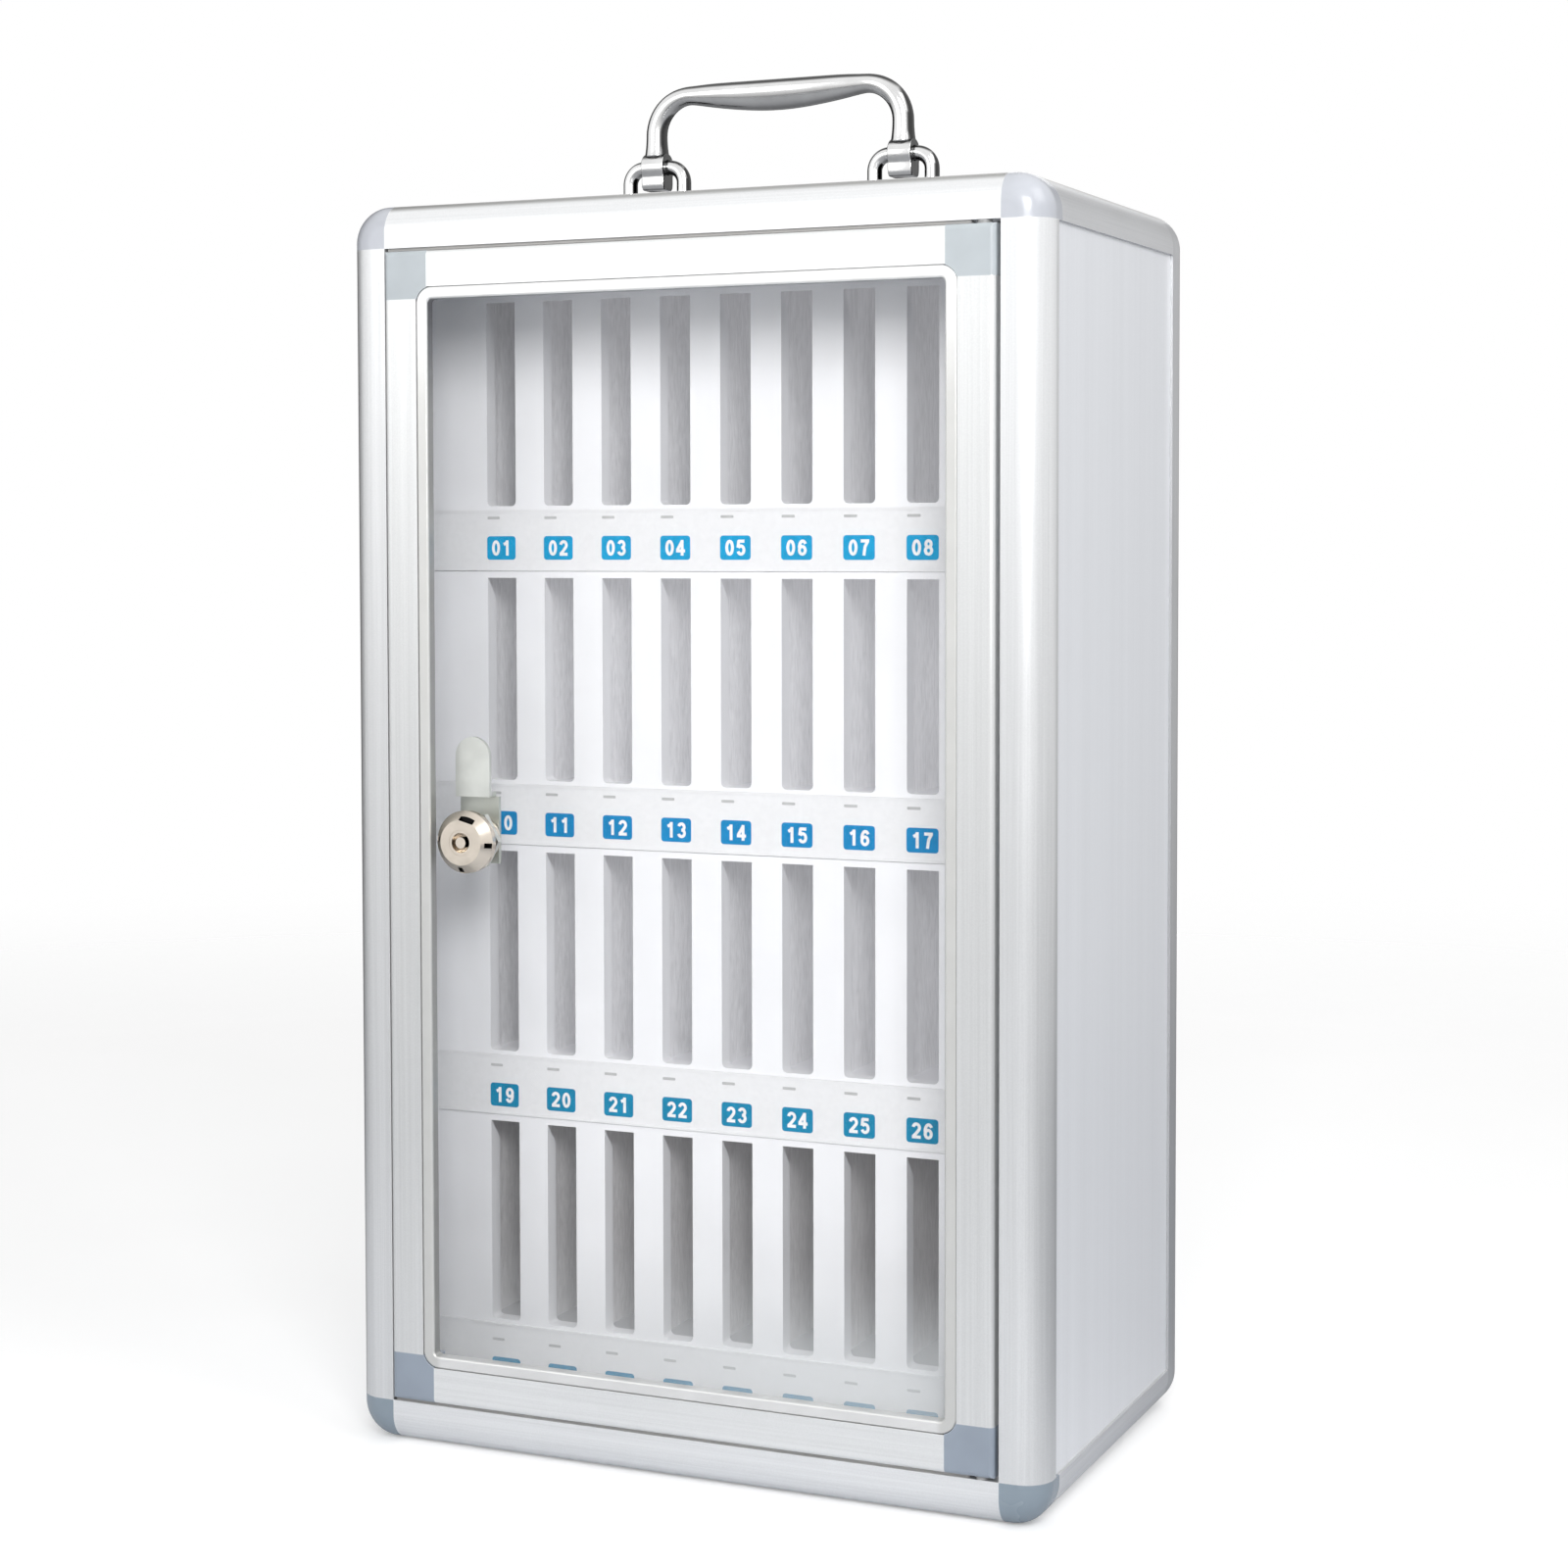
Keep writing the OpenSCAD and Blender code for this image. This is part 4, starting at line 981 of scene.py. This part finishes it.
class CABINET_OT_numbers(bpy.types.Operator):
    """Print the numbers 01 to 36 on the plates"""
    bl_idname = "cabinet.numbers"
    bl_label = "Numbers"

    def arc(self, x, y, wide, tall, first, last, steps=14):
        """Points on an ellipse between two angles in degrees."""
        turns = [math.radians(first + (last - first) * i / steps)
                 for i in range(steps + 1)]
        return [(x + wide * math.cos(a), y + tall * math.sin(a))
                for a in turns]

    def strokes(self):
        """Middle lines of the ten digits, one unit high."""
        arc = self.arc
        six = [arc(0.0, -0.17, 0.2, 0.24, 0, 360, 20),
               arc(0.03, -0.03, 0.235, 0.44, 38, 180)]
        return {
            "0": [arc(0, 0, 0.2, 0.41, 0, 360, 20)],
            "1": [[(0.05, 0.5), (0.05, -0.5)],
                  [(0.07, 0.44), (-0.04, 0.31), (-0.2, 0.22)]],
            "2": [arc(0, 0.18, 0.205, 0.225, 172, -32)
                  + [(-0.02, -0.19), (-0.2, -0.38)],
                  [(-0.29, -0.41), (0.29, -0.41)]],
            "3": [arc(-0.01, 0.2, 0.19, 0.21, 165, -90),
                  arc(-0.01, -0.19, 0.21, 0.22, 90, -165)],
            "4": [[(0.1, 0.5), (0.1, -0.5)], [(0.1, 0.42), (-0.25, -0.17)],
                  [(-0.32, -0.2), (0.3, -0.2)]],
            "5": [[(-0.2, 0.41), (0.24, 0.41)], [(-0.15, 0.45), (-0.2, 0)],
                  arc(0, -0.15, 0.21, 0.26, 145, -160)],
            "6": six,
            "7": [[(-0.27, 0.41), (0.29, 0.41)],
                  [(0.21, 0.42), (0.02, 0.05), (-0.06, -0.5)]],
            "8": [arc(0, 0.215, 0.17, 0.195, 0, 360, 18),
                  arc(0, -0.19, 0.205, 0.22, 0, 360, 20)],
            "9": [[(-x, -y) for x, y in line] for line in six]}

    def ribbon(self, line, wide, deep):
        """Flat bar of even width along a line, its front towards -Y."""
        closed = math.dist(line[0], line[-1]) < 1e-6
        points = [Vector(p) for p in (line[:-1] if closed else line)]
        rings = []
        for i, point in enumerate(points):
            before = points[i - 1] if closed or i else point
            after = (points[(i + 1) % len(points)]
                     if closed or i + 1 < len(points) else point)
            along = (after - before).normalized()
            side = Vector((-along.y, along.x)) * wide / 2
            a, b = point + side, point - side
            rings.append([(a.x, -deep, a.y), (b.x, -deep, b.y),
                          (b.x, 0, b.y), (a.x, 0, a.y)])
        return loft(rings, closed)

    def execute(self, context):
        c, n = context.scene.cabinet_colours, context.scene.cabinet_numbers
        white = printed("Number white", c.digit)
        strokes = self.strokes()
        for row in ROWS:
            front = strip_front(row) - n.skin
            middle = plate_middle(row, n)
            parts = []
            for column in range(n.columns):
                x = (column - (n.columns - 1) / 2) * n.pitch
                number = "%02d" % ((row - 1) * n.columns + column + 1)
                for side, sign in zip((-1, 1), number):
                    for i, line in enumerate(strokes[sign]):
                        verts, faces = self.ribbon(
                            line, n.stroke / n.digit, 0.4 + 0.08 * i)
                        parts.append(([
                            (x + (side * 0.39 + v[0]) * n.digit,
                             front + v[1] * n.skin,
                             middle + v[2] * n.digit) for v in verts],
                            faces))
            mesh = mesh_from("numbers_%d" % row, *join(parts))
            outward(mesh)
            piece("numbers_%d" % row, mesh, white, "cabinet",
                  False)
        return {"FINISHED"}


class CABINET_OT_handle(bpy.types.Operator):
    """Make the folding handle as one smooth casting"""
    bl_idname = "cabinet.handle"
    bl_label = "Handle"

    def execute(self, context):
        c, h = context.scene.cabinet_colours, context.scene.cabinet_handle
        joint = next(j for j in frame["joints"] if j["child"] == "handle")
        origin = Vector(joint["pos_m"])
        half, rod = h.span / 2, h.rod / 2
        start_z = (h.eye + h.bore) / 4
        leg, flat = h.top - h.bend, half - h.bend
        # points on the middle line of leg, bend and rod, each with the
        # direction to the inner side
        stations = [((half, 0, start_z + (leg - start_z) * (i / 12)),
                     (-1, 0, 0)) for i in range(13)]
        for i in range(1, 17):
            a = i / 16 * math.pi / 2
            stations.append(((flat + h.bend * math.cos(a), 0,
                              leg + h.bend * math.sin(a)),
                             (-math.cos(a), 0, -math.sin(a))))
        stations += [((flat - i / 32 * flat, 0, h.top), (0, 0, -1))
                     for i in range(1, 33)]
        stations += [((-p[0], 0, p[2]), (-q[0], 0, q[2]))
                     for p, q in reversed(stations[:-1])]
        rings = []
        for point, inner in stations:
            near = abs(point[0]) / (h.grip / 2)
            on_top = point[2] > h.top - h.bend * 0.9
            swell = (h.swell * math.cos(near * math.pi / 2) ** 1.3
                     if near < 1 and on_top else 0.0)
            waist = (h.waist * math.exp(-((near - 1.05) / 0.22) ** 2)
                     if on_top else 0.0)
            flare = max(0.0, 1 - (point[2] - start_z) / FLARE_TALL) ** 2
            wide = rod - waist + flare * FLARE_WIDE
            deep = rod - waist + swell * 0.35 + flare * FLARE_DEEP
            rings.append([
                origin + Vector(point) + Vector((0, math.sin(a) * deep, 0))
                + Vector(inner) * math.cos(a) * (
                    wide + (swell if math.cos(a) > 0 else 0))
                for a in turns(40)])
        parts = [loft(rings)]
        parts += [self.eye(origin + Vector((side * half, 0, 0)), h)
                  for side in (-1, 1)]
        mesh = mesh_from("handle", *join(parts))
        outward(mesh)
        # painted dark reflections on the handle's flanks
        handle = piece("handle", mesh,
                       plated("Handle chrome", c.chrome, 0.13), "handle")
        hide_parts("handle_bail")
        return {"FINISHED"}

    def eye(self, centre, h):
        """Bored barrel round the X axis with rounded rims and a foot."""
        outer, bore, half = h.eye / 2, h.bore / 2, h.eye_width / 2
        profile = []
        for s, r, sign in ((half, outer, 1), (half, bore, -1),
                           (-half, bore, -1), (-half, outer, 1)):
            turn = EYE_RIM if sign > 0 else EYE_RIM * 0.5
            cx, cr = s - math.copysign(turn, s), r - sign * turn
            base = {(True, 1): 90, (True, -1): 0, (False, -1): -90,
                    (False, 1): 180}[(s > 0, sign)]
            for i in range(7):
                a = math.radians(base - i * 15)
                profile.append((cx + turn * math.cos(a),
                                cr + turn * math.sin(a), sign > 0))
        rings = []
        for a in turns(64):
            y, z = math.cos(a), math.sin(a)
            reach = 1.0
            if z < 0:
                square = ((abs(y) / (h.foot / 2)) ** 9
                          + (-z / h.drop) ** 9) ** (-1 / 9)
                reach = max(1.0, square / outer)
            rings.append([centre + Vector((x, y * r * (reach if out else 1),
                                           z * r * (reach if out else 1)))
                          for x, r, out in profile])
        return loft(rings, closed_path=True)


class CABINET_OT_seals(bpy.types.Operator):
    """Lay the pale seal strips in the gap round the door"""
    bl_idname = "cabinet.seals"
    bl_label = "Seals"

    def bar(self, low, high):
        """Vertices and faces of a straight bar with its corners cut."""
        cut = min(h - l for l, h in zip(low, high)) * 0.3
        verts = []
        for z in (low[2], high[2]):
            verts += [Vector(v) for v in (
                (low[0] + cut, low[1], z), (high[0] - cut, low[1], z),
                (high[0], low[1] + cut, z), (high[0], high[1], z),
                (low[0], high[1], z), (low[0], low[1] + cut, z))]
        return loft([verts[:6], verts[6:]])

    def execute(self, context):
        c = context.scene.cabinet_colours
        pale = moulded("Seal rubber", c.seal, 0.5, 0.1, 30.0, 0.1)
        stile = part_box("front_left_stile")
        top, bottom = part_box("front_top_rail"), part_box("front_bottom_rail")
        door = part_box("door_left_rail")
        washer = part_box("hinge_washers")
        lip, front = 1.25 * MM, stile[0].y + 1.2 * MM
        back = front + 5 * MM
        left, right = door[0].x, washer[0].x - 2 * MM
        parts = [self.bar((stile[1].x, front, bottom[1].z + lip),
                          (stile[1].x + lip * 0.55, back, top[0].z - lip))]
        for z in ((top[0].z - lip, top[0].z),
                  (bottom[1].z, bottom[1].z + lip)):
            parts.append(self.bar((left, front, z[0]), (right, back, z[1])))
        mesh = mesh_from("door_seal", *join(parts))
        outward(mesh)
        piece("door_seal", mesh, pale, "cabinet", False)
        return {"FINISHED"}


# name, place, aim and size
LAMPS = {
    "key": ("Key lamp", (0.62, -1.25, 0.95), (0, 0, 0.45), (0.6, 0.6)),
    "fill": ("Fill lamp", (1.25, -0.3, 1.5), (0, 0, 0.4), (0.9, 0.9)),
    "left": ("Left lamp", (-0.9, -1.5, 0.9), (0, 0, 0.4), (0.9, 0.9)),
    "rear": ("Rear lamp", (-0.6, 2.0, 1.4), (0, 0, 0.3), (1.4, 1.2))}


class CABINET_OT_stage(bpy.types.Operator):
    """Set up floor, light and camera"""
    bl_idname = "cabinet.stage"
    bl_label = "Stage"

    def lamp(self, name, place, aim, size, power):
        """Area lamp that faces a point."""
        data = bpy.data.lights.new(name, "AREA")
        data.shape = "RECTANGLE"
        data.size, data.size_y = size
        data.energy = power
        lamp = placed(name, data)
        lamp.location = place
        lamp.rotation_euler = (Vector(aim) - Vector(place)).to_track_quat(
            "-Z", "Y").to_euler()

    def world(self, level, dark):
        """Light tent: even for matt surfaces, and with a dark side behind
        the cabinet for what mirrors it."""
        world = bpy.data.worlds.new("Light tent")
        bpy.context.scene.world = world
        world.use_nodes = True
        tree = world.node_tree
        rays = add(tree, "ShaderNodeLightPath").outputs
        way = add(tree, "ShaderNodeTexCoord").outputs["Generated"]
        aside = measure(tree, "DOT_PRODUCT", way, (-0.6, 0.8, 0.0))
        shade = times(tree, ramp(tree, aside, 0.4, 0.75),
                      ramp(tree, parts_of(tree, way)[2], 0.5, 0.9, 1.0, 0.0))
        tent = calc(tree, "SUBTRACT", 1.0, times(tree, shade, 1.0 - dark))
        mirrored = add(tree, "ShaderNodeCombineXYZ",
                       {0: tent, 1: tent, 2: tent}).outputs[0]
        sky = blend(tree, rays["Is Glossy Ray"], (level,) * 3, mirrored)
        seen = calc(tree, "MAXIMUM", rays["Is Camera Ray"],
                    rays["Is Transmission Ray"])
        sky = blend(tree, seen, sky, (1, 1, 1))
        tree.links.new(sky, tree.nodes["Background"].inputs["Color"])

    def floor(self, radius):
        """Round white floor that keeps the shadow and fades outwards."""
        around, below = 96, -0.3 * MM
        verts = [(0, 0, below)]
        rings = (0.25, 0.5, 1.0)
        for share in rings:
            verts += [(radius * share * math.cos(a),
                       radius * share * math.sin(a), below)
                      for a in turns(around)]
        faces = []
        for k in range(around):
            k2 = (k + 1) % around
            faces.append((0, 1 + k, 1 + k2))
            for r in range(len(rings) - 1):
                a, b = 1 + r * around, 1 + (r + 1) * around
                faces.append((a + k, b + k, b + k2, a + k2))
        mesh = mesh_from("floor", verts, faces)
        material, tree, sockets, place, mottle = start("Pale floor", 0.7,
                                                       0.0, 8.0)
        seen = add(tree, "ShaderNodeLightPath").outputs["Is Camera Ray"]
        white = blend(tree, mottle["Tone"], grey(236), grey(240))
        aside = measure(tree, "DISTANCE", place, (-0.3, -0.5, 0.0))
        mirrored = blend(tree, ramp(tree, aside, 0.5, 0.95),
                         tone(228, 230, 234), tone(142, 145, 151))
        fill(tree, sockets, {
            "Base Color": blend(tree, seen, mirrored, white),
            "Emission Color": (1, 1, 1, 1),
            "Emission Strength": times(tree, seen, 0.3)})
        fade = ramp(tree, measure(tree, "LENGTH", place), radius * 0.4,
                    radius * 0.95)
        clear = tree.nodes.new("ShaderNodeBsdfTransparent")
        mixed = add(tree, "ShaderNodeMixShader", {
            0: fade, 1: tree.nodes["Principled BSDF"].outputs[0],
            2: clear.outputs[0]})
        tree.links.new(mixed.outputs[0],
                       tree.nodes["Material Output"].inputs["Surface"])
        mesh.materials.append(material)
        placed("floor", mesh)

    def camera(self, lens):
        """Camera as fitted to the photograph."""
        data = bpy.data.cameras.new("Camera")
        data.lens, data.sensor_width = lens, 36
        data.shift_x, data.shift_y = 0.0794, -0.0715
        camera = placed("Camera", data)
        turn, tilt, roll = (math.radians(a) for a in
                            (24.962, 2.681, -0.210))
        back = Vector((math.sin(turn) * math.cos(tilt),
                       -math.cos(turn) * math.cos(tilt), math.sin(tilt)))
        right = Vector((math.cos(turn), math.sin(turn), 0))
        up = back.cross(right)
        matrix = Matrix((
            math.cos(roll) * right + math.sin(roll) * up,
            math.cos(roll) * up - math.sin(roll) * right,
            back)).transposed().to_4x4()
        matrix.translation = (0.51234, -1.21997, 0.39854)
        camera.matrix_world = matrix
        bpy.context.scene.camera = camera

    def execute(self, context):
        s = context.scene.cabinet_stage
        context.scene.view_settings.view_transform = "Standard"
        self.world(s.sky, s.dark)
        self.floor(s.floor_radius)
        for key, lamp in LAMPS.items():
            self.lamp(*lamp, getattr(s, key))
        self.camera(s.lens)
        return {"FINISHED"}


class CABINET_PT_panel(bpy.types.Panel):
    """Sizes, colours and pieces of the cabinet"""
    bl_idname = "CABINET_PT_panel"
    bl_label = "Phone cabinet"
    bl_space_type = "VIEW_3D"
    bl_region_type = "UI"
    bl_category = "Cabinet"

    def draw(self, context):
        for operator in OPERATORS:
            self.layout.operator(operator.bl_idname)
        for name in SETTINGS:
            group = getattr(context.scene, name)
            box = self.layout.box()
            for key in group.__annotations__:
                box.prop(group, key)


OPERATORS = (CABINET_OT_frame_finish, CABINET_OT_panel_finish,
             CABINET_OT_hardware_finish, CABINET_OT_number_plates,
             CABINET_OT_numbers, CABINET_OT_handle, CABINET_OT_seals,
             CABINET_OT_stage)
SETTINGS = {"cabinet_colours": CabinetColours,
            "cabinet_numbers": CabinetNumbers,
            "cabinet_handle": CabinetHandle,
            "cabinet_stage": CabinetStage}


def register():
    for group in SETTINGS.values():
        bpy.utils.register_class(group)
    for operator in OPERATORS:
        bpy.utils.register_class(operator)
    bpy.utils.register_class(CABINET_PT_panel)
    for name, group in SETTINGS.items():
        setattr(bpy.types.Scene, name, PointerProperty(type=group))


def unregister():
    for name in SETTINGS:
        delattr(bpy.types.Scene, name)
    bpy.utils.unregister_class(CABINET_PT_panel)
    for operator in reversed(OPERATORS):
        bpy.utils.unregister_class(operator)
    for group in reversed(list(SETTINGS.values())):
        bpy.utils.unregister_class(group)


def main():
    """Makes every piece in order."""
    register()
    for operator in OPERATORS:
        group, name = operator.bl_idname.split(".")
        getattr(getattr(bpy.ops, group), name)()


if __name__ == "__main__":
    main()
